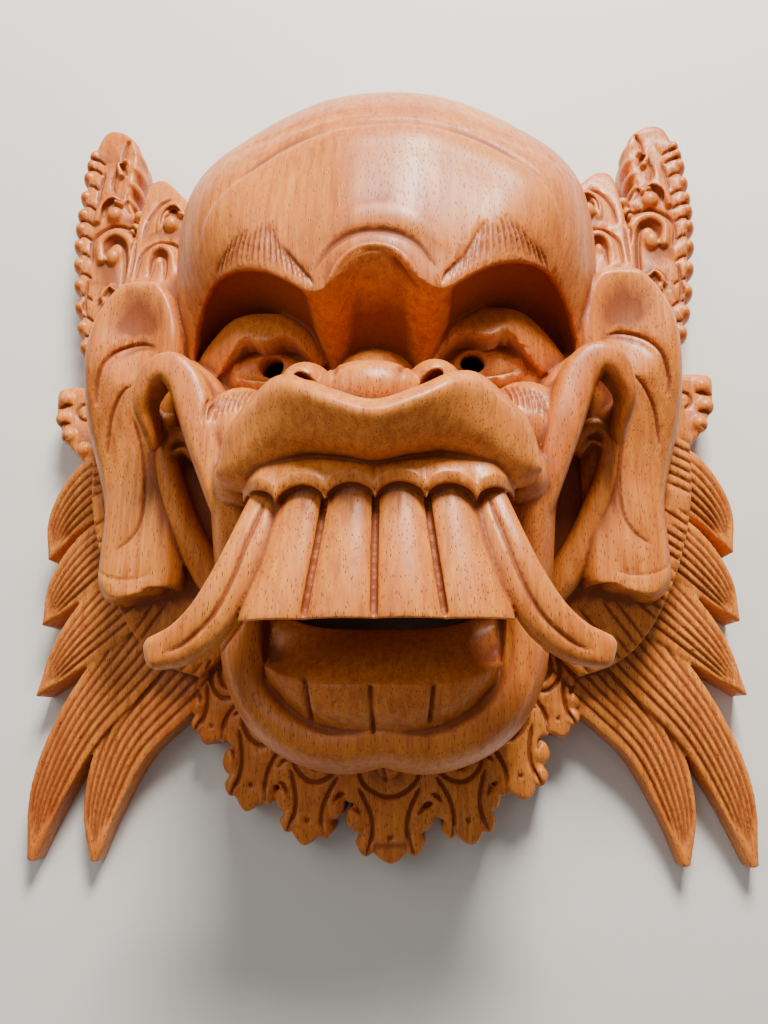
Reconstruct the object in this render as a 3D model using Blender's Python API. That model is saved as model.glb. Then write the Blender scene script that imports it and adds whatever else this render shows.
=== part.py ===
# Carved wooden barong mask, lying on its flat back.
# +Z points out of the face, +Y towards the forehead, +X to the right of someone looking at the face.
# The carving's places are measured from a point on the back plane below the mouth's upper edge.
# The object is then moved so that the origin is under the middle of the whole mask.
import math

import bmesh
import bpy
import numpy as np

for old in list(bpy.data.objects):
    bpy.data.objects.remove(old)

MM = 0.001

# Skull and forehead, in millimetres
SKULL_HALF_WIDTH = 78.0
SKULL_TOP = 183.0
BROW_OVERHANG = 34.0
BROW_HEIGHT = 84.0
BULGE_DEPTH = 14.0
BULGE_HALF_WIDTH = 19.0

# Face between the brow and the chin
FACE_HALF_WIDTH = 70.0
FACE_HEIGHT = 70.0
CHIN_REACH = 63.0
FACE_LEAN = -2.0

# Eyes
EYE_SPREAD = 36.5
EYE_PLACE = 60.0
EYE_HALF_LENGTH = 25.0
EYE_TOP = 58.0
EYE_RECESS = 6.0
LID_DEPTH = 26.0
PUPIL_DIAMETER = 8.2
PUPIL_SPREAD = 33.0
PUPIL_PLACE = 60.0
PUPIL_TILT = 10.0
GAZE_LEAN = -3.5

# Nose
NOSE_PLACE = 37.0
NOSE_TIP_HEIGHT = 99.0
NOSE_HALF_WIDTH = 27.0
NOSTRIL_DIAMETER = 8.0

# Upper lip, gum, teeth and tusks
LIP_HALF_LENGTH = 45.5
LIP_HEIGHT = 107.0
LIP_FULLNESS = 4.5
GUM_HALF_LENGTH = 38.0
TOOTH_COUNT = 4
TEETH_LENGTH = 38.0
TEETH_HALF_SPAN_TOP = 27.0
TEETH_HALF_SPAN_TIP = 36.0
TEETH_THICKNESS = 12.0
TOOTH_BULGE = 4.0
TUSK_THICKNESS = 10.0
TUSK_REACH = 59.0

# Lower jaw
LOWER_LIP_WIDTH = 14.0
LOWER_TEETH_HEIGHT = 73.0
LOWER_TEETH_HALF_SPAN = 34.0
MOUTH_SLIT_HALF_LENGTH = 30.0
MOUTH_SLIT_WIDTH = 18.0
MOUTH_SLIT_PLACE = -17.0

# Ears
EAR_REACH = 103.0
EAR_LENGTH = 112.5
EAR_BOTTOM = -13.0
EAR_LOBE_HEIGHT = 41.0
EAR_RIM_HEIGHT = 57.0
EAR_HOOK_HEIGHT = 73.0
EAR_HOOK_WIDTH = 13.0

# Crests, side ornaments, feathers and beard, all carved on the back plane
CREST_TIP = 187.0
CREST_TIP_LEAN = 3.8
CREST_REACH = 122.5
CREST_THICKNESS = 19.0
CREST_INNER_THICKNESS = 27.0
CREST_BEADS = 12
CREST_LEAN = -4.0
ORNAMENT_REACH = 126.0
ORNAMENT_THICKNESS = 15.0
FEATHER_REACH = 124.0
FEATHER_TIP = 99.0
FEATHER_TIP_THICKNESS = 7.0
FEATHER_ROOT_THICKNESS = 24.0
FEATHER_STEP = 2.2
BEARD_REACH = 98.0
BEARD_THICKNESS = 15.0

# Hollow behind the face
HOLLOW_HALF_WIDTH = 58.0
HOLLOW_DEPTH = 50.0
HOLLOW_FOREHEAD_DEPTH = 66.0
HOLLOW_BOTTOM = -34.0
HOLLOW_TOP = 154.0

# How far forms run below the back plane before the back is cut flat
BACK_TRIM = 6.0

# Faces that meet within this many degrees are made into one
FLAT_ANGLE = 2.0


def through(points, count):
    """Smooth curve through a few points, as evenly spaced points."""
    knots = np.array(points, float)
    if knots.ndim == 1:
        knots = knots[:, None]
    ends = np.vstack([2 * knots[0] - knots[1], knots, 2 * knots[-1] - knots[-2]])
    place = np.linspace(0, len(knots) - 1, count)
    first = np.minimum(place.astype(int), len(knots) - 2)
    t = (place - first)[:, None]
    a, b, c, d = ends[first], ends[first + 1], ends[first + 2], ends[first + 3]
    curve = 0.5 * (2 * b + (c - a) * t + (2 * a - 5 * b + 4 * c - d) * t ** 2
                   + (3 * b - a - 3 * c + d) * t ** 3)
    return curve if curve.shape[1] > 1 else curve[:, 0]


def mirrored_curve(points, count):
    """Curve across the face from its right half, given from the middle outward."""
    half = through(points, count)
    left = half[:0:-1] * np.array([-1] + [1] * (half.shape[1] - 1))
    return np.vstack([left, half])


def border_of(rows, cols):
    """Numbers of the points round the edge of a grid."""
    border = [c for c in range(cols)]
    border += [r * cols + cols - 1 for r in range(1, rows)]
    border += [(rows - 1) * cols + c for c in range(cols - 2, -1, -1)]
    border += [r * cols for r in range(rows - 2, 0, -1)]
    return border


def slab(top, bottom):
    """Closed form between two grids of points of the same size."""
    rows, cols = top.shape[:2]
    points = np.vstack([top.reshape(-1, 3), bottom.reshape(-1, 3)])
    under = rows * cols
    faces = []
    for r in range(rows - 1):
        for c in range(cols - 1):
            a = r * cols + c
            quad = [a, a + 1, a + cols + 1, a + cols]
            faces.append(quad)
            faces.append([under + k for k in reversed(quad)])
    border = border_of(rows, cols)
    for a, b in zip(border, border[1:] + border[:1]):
        faces.append([b, a, under + a, under + b])
    return points, faces


def block(top, floor=-BACK_TRIM):
    """Closed form from a grid of points straight down to a flat underside."""
    rows, cols = top.shape[:2]
    border = border_of(rows, cols)
    points = top.reshape(-1, 3)
    lower = points[border].copy()
    lower[:, 2] = floor
    faces = []
    for r in range(rows - 1):
        for c in range(cols - 1):
            a = r * cols + c
            faces.append([a, a + 1, a + cols + 1, a + cols])
    first = len(points)
    count = len(border)
    for k in range(count):
        n = (k + 1) % count
        faces.append([border[n], border[k], first + k, first + n])
    faces.append([first + k for k in range(count)])
    return np.vstack([points, lower]), faces


def loft(rings, start=None, end=None):
    """Closed form through rings of points, with a point at each end."""
    rings = np.array(rings, float)
    count, around = rings.shape[:2]
    start = rings[0].mean(axis=0) if start is None else np.array(start, float)
    end = rings[-1].mean(axis=0) if end is None else np.array(end, float)
    points = np.vstack([rings.reshape(-1, 3), start, end])
    faces = []
    for r in range(count - 1):
        for k in range(around):
            n = (k + 1) % around
            faces.append([r * around + k, r * around + n, (r + 1) * around + n, (r + 1) * around + k])
    for k in range(around):
        n = (k + 1) % around
        faces.append([n, k, count * around])
        faces.append([(count - 1) * around + k, (count - 1) * around + n, count * around + 1])
    return points, faces


def tube(path, widths, heights, around=8, square=1.0, up=(0, 0, 1)):
    """Closed band along a path: half widths across it and half heights along up."""
    path = np.array(path, float)
    along = np.gradient(path, axis=0)
    along /= np.linalg.norm(along, axis=1)[:, None]
    rise = np.array(up, float) - along * (along @ np.array(up, float))[:, None]
    rise /= np.linalg.norm(rise, axis=1)[:, None]
    across = np.cross(along, rise)
    angle = np.arange(around) * 2 * math.pi / around + math.pi / around
    sideways = np.sign(np.cos(angle)) * np.abs(np.cos(angle)) ** square
    upward = np.sign(np.sin(angle)) * np.abs(np.sin(angle)) ** square
    rings = []
    for k, middle in enumerate(path):
        ring = middle + across[k] * (sideways * widths[k])[:, None]
        rings.append(ring + rise[k] * (upward * heights[k])[:, None])
    return loft(rings, path[0] - along[0] * widths[0] * 0.4, path[-1] + along[-1] * widths[-1] * 0.4)


def turned(points, turn):
    """Points turned by angles in degrees about X, then Y, then Z."""
    x, y, z = (math.radians(a) for a in turn)
    about_x = np.array([[1, 0, 0], [0, math.cos(x), -math.sin(x)], [0, math.sin(x), math.cos(x)]])
    about_y = np.array([[math.cos(y), 0, math.sin(y)], [0, 1, 0], [-math.sin(y), 0, math.cos(y)]])
    about_z = np.array([[math.cos(z), -math.sin(z), 0], [math.sin(z), math.cos(z), 0], [0, 0, 1]])
    return points @ (about_z @ about_y @ about_x).T


def ellipsoid(centre, radii, turn=(0, 0, 0), rings=6, around=12):
    """Closed ellipsoid, its poles on its own Z axis."""
    rows = []
    for r in range(1, rings):
        tilt = math.pi * r / rings
        angle = np.arange(around) * 2 * math.pi / around
        row = np.stack([np.cos(angle) * math.sin(tilt), np.sin(angle) * math.sin(tilt)], axis=1)
        rows.append(np.column_stack([row, np.full(around, math.cos(tilt))]))
    shape = np.vstack([np.vstack(rows), [[0, 0, 1], [0, 0, -1]]]) * np.array(radii, float)
    shape = turned(shape, turn) + np.array(centre, float)
    body = shape[:-2].reshape(rings - 1, around, 3)
    return loft(body, shape[-2], shape[-1])


def leaf(spine, half_widths, heights, rows, cols, crown=0.0):
    """Grid of points for a leaf: a curved middle line, half widths, and heights along it."""
    middle = through(spine, rows)
    width = through(half_widths, rows)
    height = through(heights, rows)
    along = np.gradient(middle, axis=0)
    along /= np.linalg.norm(along, axis=1)[:, None]
    side = np.column_stack([along[:, 1], -along[:, 0]])
    grid = []
    for k in range(rows):
        row = []
        for t in np.linspace(-1, 1, cols):
            spot = middle[k] + side[k] * width[k] * t
            row.append([spot[0], spot[1], height[k] + crown * (1 - t * t)])
        grid.append(row)
    return np.array(grid)


def plate(outline, height, bevel=1.2, floor=-BACK_TRIM):
    """Closed upright form over a closed outline, its top edge cut back, at one height or one for each point."""
    outline = np.array(outline, float)
    count = len(outline)
    along = np.roll(outline, -1, axis=0) - np.roll(outline, 1, axis=0)
    along /= np.maximum(np.linalg.norm(along, axis=1), 1e-9)[:, None]
    x, y = outline.T
    turn = math.copysign(1, (x * np.roll(y, -1) - np.roll(x, -1) * y).sum())
    inward = np.column_stack([-along[:, 1], along[:, 0]]) * turn
    height = np.zeros(count) + height
    levels = [(0, np.full(count, floor)), (0, height - bevel), (bevel, height)]
    points = np.vstack([np.column_stack([outline + inward * inset, level]) for inset, level in levels])
    faces = []
    for r in range(len(levels) - 1):
        for k in range(count):
            n = (k + 1) % count
            faces.append([r * count + k, r * count + n, (r + 1) * count + n, (r + 1) * count + k])
    faces.append(list(range(count))[::-1])
    faces.append([(len(levels) - 1) * count + k for k in range(count)])
    return points, faces


def skull():
    """Dome of the skull and forehead, down to the brow and back under it."""
    rim_shares = [(0, 1), (0.43, 0.97), (0.75, 0.89), (0.94, 0.79), (1, 0.67), (1, 0.5), (0.96, 0.33)]
    rim = mirrored_curve([(x * SKULL_HALF_WIDTH, y * SKULL_TOP) for x, y in rim_shares], 14)
    brow_shares = [(0, 81, 1.06), (7, 79, 1.06), (14, 72, 1.04), (20, 70.5, 1.02), (28, 76, 1.0),
                   (36, 81, 0.97), (45, 84, 0.92), (54, 83.5, 0.84), (61, 77, 0.72), (65, 66, 0.61),
                   (66, 52, 0.54)]
    brow = mirrored_curve([(x, y, z * BROW_HEIGHT) for x, y, z in brow_shares], 14)
    rows = []
    for v in np.linspace(0, 1, 8):
        inward = 1 - math.cos(v * math.pi / 2) ** 0.8
        upward = math.sin(v * math.pi / 2) ** 0.8
        flat = rim + (brow[:, :2] - rim) * inward
        rows.append(np.column_stack([flat, brow[:, 2] * upward]))
    bulge = BULGE_DEPTH * np.maximum(1 - (brow[:, 0] / BULGE_HALF_WIDTH) ** 2, 0) ** 0.6
    for shrink, back, drop, swell in ((0.985, 1.5, 0.2, 0.5), (0.96, -1.0, 0.6, 0.85), (0.9, -8.0, 1.0, 1.0)):
        rows.append(np.column_stack([brow[:, 0] * shrink, brow[:, 1] + back - bulge * swell,
                                     brow[:, 2] - drop * BROW_OVERHANG]))
    return block(np.array(rows))


def face():
    """Plain body of the face that the features stand on."""
    shape = [(104, 0.94, 0.83), (84, 1.0, 0.74), (66, 1.0, 0.75), (50, 0.97, 0.85), (36, 0.92, 0.96),
             (20, 0.87, 1.0), (4, 0.82, 0.92), (-10, 0.80, 0.72), (-24, 0.77, 0.60), (-40, 0.70, 0.58),
             (-54, 0.52, 0.56), (-CHIN_REACH, 0.26, 0.46)]
    roundness = 3.2
    across = np.sin(np.linspace(-1, 1, 9) * math.pi / 2)
    rise = (1 - np.abs(across) ** roundness) ** (1 / roundness)
    rows = []
    for y, width, height in through(shape, 12):
        rows.append(np.column_stack([across * width * FACE_HALF_WIDTH, np.full(len(across), y),
                                     rise * height * FACE_HEIGHT]))
    return block(np.array(rows))


def eye_mound():
    """Swollen wood around the right eye."""
    return ellipsoid((EYE_SPREAD, EYE_PLACE, EYE_TOP - 15), (EYE_HALF_LENGTH + 2, 18, 14), (0, 0, 4), 6, 12)


def upper_lid():
    """Broad band of the right upper lid, arching from the nose to the temple."""
    top = through([(15, 60, 56), (18, 67, 59), (26, 74.5, 61), (37, 78.5, 60.5), (49, 78, 58), (61, 72.5, 50),
                   (68, 67, 44)], 9)
    edge = through([(17, 56, 57), (21, 59.5, 61), (26, 62.5, 64.5), (34, 65, 66), (42, 64, 65.5),
                    (50, 62, 61), (60, 57, 50)], 9)
    rows = []
    for share, swell in ((0, 0), (0.5, 2.4), (1, 0.5)):
        rows.append(top + (edge - top) * share + (0, 0, swell))
    grid = np.array(rows)
    return slab(grid, grid - (0, 0, LID_DEPTH))


def eye_opening():
    """Cutter for the lens-shaped opening of the right eye, with a rounded eyeball left at the bottom."""
    upper = [(-18, -3), (-10, 3), (-3, 5), (4, 3.5), (11, 4), (16, 0)]
    lower = [(16, 0), (8, -5), (-2, -7), (-12, -6), (-18, -3)]
    outline = np.vstack([through(upper, 8)[:-1], through(lower, 6)[:-1]])
    rings = []
    for height in (EYE_TOP - EYE_RECESS, EYE_TOP + 30):
        rings.append(np.column_stack([outline + (EYE_SPREAD, EYE_PLACE), np.full(len(outline), height)]))
    middle = rings[0].mean(axis=0)
    return loft(rings, middle + (0, 0, 2.0))


def pupil_drill(side):
    """Drill for the pupil, leaning with the line of sight."""
    lean = math.tan(math.radians(PUPIL_TILT))
    path = []
    for height in (-BACK_TRIM * 2, EYE_TOP + 30):
        away = EYE_TOP - height
        path.append((side * PUPIL_SPREAD + GAZE_LEAN, PUPIL_PLACE + away * lean, height))
    radii = [PUPIL_DIAMETER / 2] * 2
    return tube(path, radii, radii, 12, 1.0, (0, 1, 0))


def bridge():
    """Bridge of the nose under the bulge between the brows."""
    return [ellipsoid((FACE_LEAN, 48, 60), (15, 15, 13), (0, 0, 0), 5, 10)]


def nose():
    """Tip and the two wings, each with a curled rim round its nostril."""
    tip = NOSE_TIP_HEIGHT
    forms = [ellipsoid((FACE_LEAN, NOSE_PLACE, tip - 17), (16, 12.5, 17), (0, 0, 0), 6, 12),
             ellipsoid((FACE_LEAN, NOSE_PLACE - 3, tip - 30), (27, 13, 15), (0, 0, 0), 4, 8)]
    for side in (-1, 1):
        spread = side * (NOSE_HALF_WIDTH - 8.5) + FACE_LEAN
        forms.append(ellipsoid((spread, NOSE_PLACE + 1, tip - 18), (9.5, 8.5, 14), (0, 0, 0), 5, 10))
        turn = np.linspace(-0.16, 0.95, 6) * math.pi
        rim = np.column_stack([spread + side * (9.2 * np.cos(turn) - 1), NOSE_PLACE + 8.2 * np.sin(turn),
                               tip - 11 + 2 * np.sin(turn)])
        forms.append(tube(rim, [2.6] * 6, [4.0] * 6, 6))
    return forms


def nostril(side):
    """Blind hole of one nostril."""
    radius = NOSTRIL_DIAMETER / 2
    spot = (side * (NOSE_HALF_WIDTH - 10.5) + FACE_LEAN, NOSE_PLACE - 1.5, NOSE_TIP_HEIGHT - 6)
    return ellipsoid(spot, (radius * 0.8, radius * 1.1, radius * 2), (20, 0, side * 10), 4, 8)


def lip_lines(count):
    """Top edge and bottom edge of the upper lip, across the face."""
    top_shares = [(0, 24, 1.0), (0.26, 28, 0.99), (0.46, 33, 0.965), (0.62, 34.5, 0.925), (0.78, 31, 0.87),
                  (0.92, 26.5, 0.82), (0.985, 22.5, 0.78), (1, 18, 0.76)]
    bottom_shares = [(0, 16, 0.83), (0.22, 17.5, 0.83), (0.4, 18, 0.82), (0.55, 16, 0.81), (0.7, 12.5, 0.785),
                     (0.84, 10, 0.765), (0.95, 11.5, 0.75), (1, 15, 0.745)]
    lines = []
    for shares in (top_shares, bottom_shares):
        lines.append(mirrored_curve([(x * LIP_HALF_LENGTH, y, z * LIP_HEIGHT) for x, y, z in shares], count))
    return lines


def upper_lip():
    """Big rolled upper lip with its wavy top edge."""
    top, bottom = lip_lines(11)
    rings = []
    for t, b in zip(top, bottom):
        fall = b - t
        out = np.array([0, -fall[2], fall[1]])
        out *= math.copysign(1, out[2]) / np.linalg.norm(out)
        ring = [t, t + fall * 0.3 + out * LIP_FULLNESS * 0.8, t + fall * 0.65 + out * LIP_FULLNESS, b]
        ring += [b + (0, 5, -9), (t[0], t[1] + 2, t[2] - 26), (t[0], t[1] + 6, t[2] - 9)]
        rings.append(ring)
    ends = [(side * (LIP_HALF_LENGTH + 1.5), top[0][1] + 1.5, top[0][2] - 9) for side in (-1, 1)]
    return loft(rings, ends[0], ends[1])


def tooth_edges():
    """Places of the gaps between teeth, as shares of the half span."""
    return np.linspace(-1, 1, TOOTH_COUNT + 1)


def gum():
    """Gum under the lip, its lower edge in one arc over each tooth and over each tusk."""
    half = GUM_HALF_LENGTH
    knots = [-half] + list(tooth_edges() * TEETH_HALF_SPAN_TOP) + [half]
    per_arc = 5
    places = []
    for a, b in zip(knots, knots[1:]):
        places += [(a + (b - a) * k / per_arc, k / per_arc) for k in range(per_arc)]
    places.append((half, 0.0))
    rings = []
    for x, phase in places:
        bend = (x / half) ** 2
        edge = 4.5 - 1.5 * bend + 4.5 * math.sqrt(max(math.sin(math.pi * phase), 0.0))
        height = 94.5 - 5 * bend ** 1.5
        rings.append([(x, 25, height - 12), (x, 15, height - 2.5), (x, edge + 3, height - 0.3),
                      (x, edge, height - 1.2), (x, edge + 1, height - 7), (x, 25, height - 31)])
    return loft(rings)


def tooth(index):
    """One big bulging upper tooth, wider at its tip."""
    edges = tooth_edges()
    left, right = edges[index], edges[index + 1]
    top = []
    bottom = []
    for s in np.linspace(0, 1, 5):
        span = TEETH_HALF_SPAN_TOP + (TEETH_HALF_SPAN_TIP - TEETH_HALF_SPAN_TOP) * s ** 1.2
        top_row = []
        bottom_row = []
        for t in np.linspace(-1, 1, 6):
            x = span * (left + right) / 2 + span * (right - left) / 2 * t
            y = 10 - TEETH_LENGTH * s
            roundness = math.sqrt(1 - 0.98 * t * t)
            z = 86.5 + 9.5 * s - 5 * (x / TEETH_HALF_SPAN_TIP) ** 2 + TOOTH_BULGE * roundness
            z -= 1.2 * s ** 6
            top_row.append((x, y, z))
            bottom_row.append((x, y + 3 * s, z - TEETH_THICKNESS - TOOTH_BULGE * (roundness - 1)))
        top.append(top_row)
        bottom.append(bottom_row)
    return slab(np.array(top), np.array(bottom))


def tusk():
    """Right tusk, from beside the teeth outward to its blunt tip, flat on top."""
    root = 39
    curl = TUSK_REACH - root
    path = through([(29, 12, 79), (31.5, 4, 82.5), (35, -8, 86), (root, -18, 87),
                    (root + 0.28 * curl, -27, 86), (root + 0.62 * curl, -32.5, 84), (TUSK_REACH, -35, 82)], 13)
    widths = through([4.8, 5, 5.6, 6, 6.2, 5.6, 4.6], 13)
    return tube(path, widths, np.full(13, TUSK_THICKNESS / 2), 8, 0.6)


def lower_lip():
    """Thick lower lip in a wide U, running up at both sides to the corners of the upper lip."""
    inner = mirrored_curve([(0, -51.5, 62), (12, -53.5, 62), (23, -50.5, 61), (31, -44, 60), (35.5, -34, 60),
                            (37, -20, 61), (38, -4, 66), (39, 16, 72)], 12)
    along = np.gradient(inner[:, :2], axis=0)
    along /= np.linalg.norm(along, axis=1)[:, None]
    outward = np.column_stack([along[:, 1], -along[:, 0]])
    profile = [(0, 0), (0.3, 2.5), (0.68, 1), (0.95, -6), (1, -14), (0.75, -26), (0.5, -40), (-0.4, -40)]
    rings = []
    for spot, away in zip(inner, outward * LOWER_LIP_WIDTH):
        rings.append([spot + (away[0] * share, away[1] * share, rise) for share, rise in profile])
    return loft(rings)


def lower_teeth():
    """Low curved wall of the lower teeth, its back falling in a hollow curve to the mouth slit."""
    top = LOWER_TEETH_HEIGHT
    line = mirrored_curve([(0, -43, top), (0.4, -43, top - 0.5), (0.72, -41.5, top - 3.5),
                           (1, -37, top - 9)], 7)
    line[:, 0] *= LOWER_TEETH_HALF_SPAN
    rings = []
    for x, y, z in line:
        share = 1 - 0.35 * (x / LOWER_TEETH_HALF_SPAN) ** 2
        front = [(x, y, z), (x * 0.97, y - 7 * share, z - 3), (x * 0.95, y - 13 * share, z - 10)]
        back = [(x * 0.95, y - 12, 30), (x * 0.95, -18, 30), (x, -18, 48), (x, -25, 55), (x, -34, z - 8)]
        rings.append(front + back)
    return loft(rings)


def mouth_slit():
    """Cutter for the slit that runs from the mouth through to the hollow."""
    rings = []
    angle = np.linspace(0, 2 * math.pi, 20, endpoint=False)
    across = np.sign(np.cos(angle)) * np.abs(np.cos(angle)) ** 0.6 * MOUTH_SLIT_HALF_LENGTH
    along = np.sign(np.sin(angle)) * np.abs(np.sin(angle)) ** 0.8 * MOUTH_SLIT_WIDTH / 2
    for height in (HOLLOW_DEPTH * 0.3, LOWER_TEETH_HEIGHT - 5):
        rings.append(np.column_stack([across, MOUTH_SLIT_PLACE + along, np.full(20, height)]))
    return loft(rings)


def cheek():
    """Round cheek beside the nose."""
    return ellipsoid((45, 35, 57), (15, 17, 15), (0, 0, 0), 6, 12)


def mouth_corner():
    """Plain wood between the ends of the lip, the gum and the lower lip."""
    return ellipsoid((42, 17, 65), (9, 10, 14), (0, 0, 0), 5, 8)


def ear_base():
    """Solid wood between the face, the ear and the feathers."""
    spine = [(76, 96), (80, 60), (80, 20), (70, -14), (56, -30)]
    return block(leaf(spine, [16, 22, 23, 20, 12], [38, 37, 33, 27, 22], 8, 4, 2))


def ear_flap():
    """Long outer ear, a broad hood with a rolled rim at the top and a lobe at the bottom."""
    top = EAR_BOTTOM + EAR_LENGTH
    spine = [(85.5, top), (85.5, 95), (85, 86), (83.7, 75.5), (83.5, 62), (84.5, 48), (83, 33), (81.5, 18),
             (81, 4), (81, EAR_BOTTOM + 6), (80.5, EAR_BOTTOM)]
    widths = [2.5, 10.5, 15.5, 18.5, 18.5, 17, 15, 13.5, 14, 14, 6]
    grid = leaf(spine, widths, [0, 0], 13, 7)
    across = np.linspace(-1, 1, grid.shape[1])[None, :]
    raised = np.clip((grid[:, :, 1] - 30) / 45, 0, 1)
    inside = np.clip((1 - np.abs(across)) * 2.2 - 0.5, 0, 1) * np.clip((top - grid[:, :, 1]) / 12, 0, 1)
    rim = EAR_LOBE_HEIGHT + (EAR_RIM_HEIGHT - EAR_LOBE_HEIGHT) * raised
    grid[:, :, 2] = rim - 9 * raised * inside + 3 * (1 - raised) * (1 - across ** 2) - 3 * np.abs(across) ** 8
    grid[:, :, 0] *= EAR_REACH / np.abs(grid[:, :, 0]).max()
    return block(grid)


def ear_hook():
    """Inner ear: a broad band that loops over and runs down beside the cheek."""
    top = EAR_HOOK_HEIGHT
    path = through([(75.5, 37, top - 22), (76, 46, top - 13), (72.5, 53.5, top - 9), (66.6, 55.5, top - 8),
                    (61.5, 50.5, top - 8), (58, 42, top - 8.5), (55, 33, top - 9), (51, 20, top - 11),
                    (48, 10, top - 13), (43, -4, top - 18)], 17)
    widths = EAR_HOOK_WIDTH / 2 * through([0.3, 0.35, 0.62, 0.82, 0.92, 0.94, 0.9, 0.75, 0.6, 0.4], 17)
    heights = through([8, 8, 7, 7, 7, 8, 9, 10, 10, 9], 17)
    return tube(path, widths, heights, 8, 0.6)


def ear_folds():
    """Second fold inside the ear, the wood beside the cheek that carries the hook, and what lies under it."""
    fold = through([(63, 36, 40), (67, 40.5, 42), (71, 41, 42), (74, 37.5, 41), (74, 30, 40), (71, 18, 37.5),
                    (66, 6, 35), (59, -6, 32), (52, -14, 29)], 12)
    fold_widths = through([3, 3.2, 3.6, 3.8, 4, 4.6, 5, 5.5, 5], 12)
    wall = through([(65, 59, 48), (58, 52, 50), (53, 40, 52), (48, 22, 52), (44, 4, 50), (41, -10, 46)], 6)
    forms = [tube(fold, fold_widths, [7.0] * 12, 6), tube(wall, [6.5] * 6, [12.0] * 6, 6)]
    for centre, radii in (((76, 45, 38), (9, 9, 13)), ((65, 60, 37), (12, 11, 14))):
        forms.append(ellipsoid(centre, radii, (0, 0, 0), 4, 6))
    return forms


def on_crest(points, side):
    """Places on a crest, whose tip is higher on the left half of the mask than on the right."""
    points = np.array(points, float)
    shoulder = 140
    drawn_tip = 187
    drawn_reach = 122.5
    longer = CREST_TIP - side * CREST_TIP_LEAN - drawn_tip
    points[..., 1] += np.maximum(points[..., 1] - shoulder, 0) * longer / (drawn_tip - shoulder)
    points[..., 0] *= CREST_REACH / drawn_reach
    return points


def beaded(edge, beads, swell):
    """Line with a row of round beads standing out on its outer side."""
    line = through(edge, beads * 3 + 1)
    phase = np.arange(len(line)) % 3
    line[:, 0] += np.where(phase == 0, 0.0, swell)
    return line


def crests(side):
    """Two upright leaves above the ear, the outer one with beads down its outer edge."""
    edge = [(120.5, 176), (122, 165), (122.5, 152), (122.8, 140), (121.5, 124), (119, 106), (115, 90)]
    outer = [(104, 182.5), (111, 187), (117, 185)] + list(beaded(edge, CREST_BEADS, 2.6))
    outer += [(98, 80), (88, 92), (90, 120), (95, 141), (101, 149), (103.4, 155), (102.4, 164), (101.2, 174)]
    inner = [(94.5, 154), (92.5, 159.5), (87.5, 160.5), (81.5, 155), (76, 148.5), (73, 140), (71.5, 126),
             (70, 108), (67, 86), (82, 82), (95, 92), (97, 120), (95.5, 143)]
    slope = CREST_INNER_THICKNESS + (135 - np.array(inner)[:, 1]) * 0.16
    forms = [plate(on_crest(outer, side), CREST_THICKNESS), plate(on_crest(inner, side), slope)]
    bumps = [(75.5 - 0.6 * k, 138 - 9 * k, CREST_INNER_THICKNESS - 2 + 1.4 * k, 4.4, 6) for k in range(5)]
    bumps += [(108.5, 148, CREST_THICKNESS, 4, 3), (107.4, 128, CREST_THICKNESS, 5.5, 3.5),
              (81.5, 138, CREST_INNER_THICKNESS, 4.5, 3), (84.5, 118, CREST_INNER_THICKNESS + 2, 4.5, 3),
              (107, 108, CREST_THICKNESS, 4, 3)]
    for x, y, z, size, rise in bumps:
        spot = on_crest((x, y), side)
        forms.append(ellipsoid((spot[0], spot[1], z), (size, size * 1.1, rise), (0, 0, 0), 4, 6))
    return forms


def side_ornament():
    """Small scalloped leaf that stands out behind the ear."""
    reach = ORNAMENT_REACH
    outline = [(96, 72), (reach - 14, 74), (reach - 3, 74.5), (reach, 72), (reach - 0.3, 66), (reach - 2, 65),
               (reach - 0.6, 62), (reach - 1.5, 58), (reach - 4, 57.5), (reach - 3.2, 53.5),
               (reach - 6, 50.5), (reach - 9, 51), (reach - 10, 46.5), (reach - 15, 44), (reach - 20, 40), (94, 36)]
    return plate(outline, ORNAMENT_THICKNESS)


def feathers():
    """Five long feathers behind the ear, each one lying over the next."""
    tip = FEATHER_TIP_THICKNESS
    reach = FEATHER_REACH
    low = -FEATHER_TIP
    lines = [([(92, 36), (106, 30), (118, 19), (reach, 5)], [12, 11, 7, 0.6], [18, 14]),
             ([(90, 14), (104, 5), (116, -7), (reach, -19)], [11, 10, 7, 0.6], [17, 13]),
             ([(84, -2), (98, -15), (112, -29), (reach, -44)], [12, 11, 7.5, 0.6], [15.5, 11.5]),
             ([(70, -6), (88, -30), (106, -53), (117, -76), (reach - 2, low)], [13, 12, 9, 6.5, 1.6],
              [14, 10.5, tip]),
             ([(58, -22), (74, -40), (90, -59), (98, -80), (100, low)], [13, 12, 9.5, 6.5, 1.5],
              [12.5, 9.5, tip])]
    forms = []
    for k, (spine, widths, heights) in enumerate(lines):
        root = FEATHER_ROOT_THICKNESS - FEATHER_STEP * k
        forms.append(block(leaf(spine, widths, [root, root - 1] + heights, 8, 3, 1.2)))
    return forms


def beard_leaves():
    """Base, tip and half width of each of the seven scroll leaves around the chin."""
    reach = BEARD_REACH
    return [((0, -60), (0.5, -reach), 14.5), ((22, -56), (27.5, -reach + 6), 11.5),
            ((-23, -56), (-28.5, -reach + 5.5), 11.5), ((37, -43), (46, -reach + 20), 11.5),
            ((-40, -43), (-48.5, -reach + 16), 11.5), ((50, -30), (59.5, -reach + 40), 9.5),
            ((-53, -32), (-63.5, -reach + 37.5), 9.5)]


def in_leaf(base, tip, half, points):
    """Places on the mask from places across and along a leaf."""
    base, tip = np.array(base, float), np.array(tip, float)
    along = tip - base
    side = np.array([along[1], -along[0]]) / np.linalg.norm(along)
    points = np.array(points, float)
    return base + points[..., 1:2] * along + points[..., 0:1] * side * half


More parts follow.
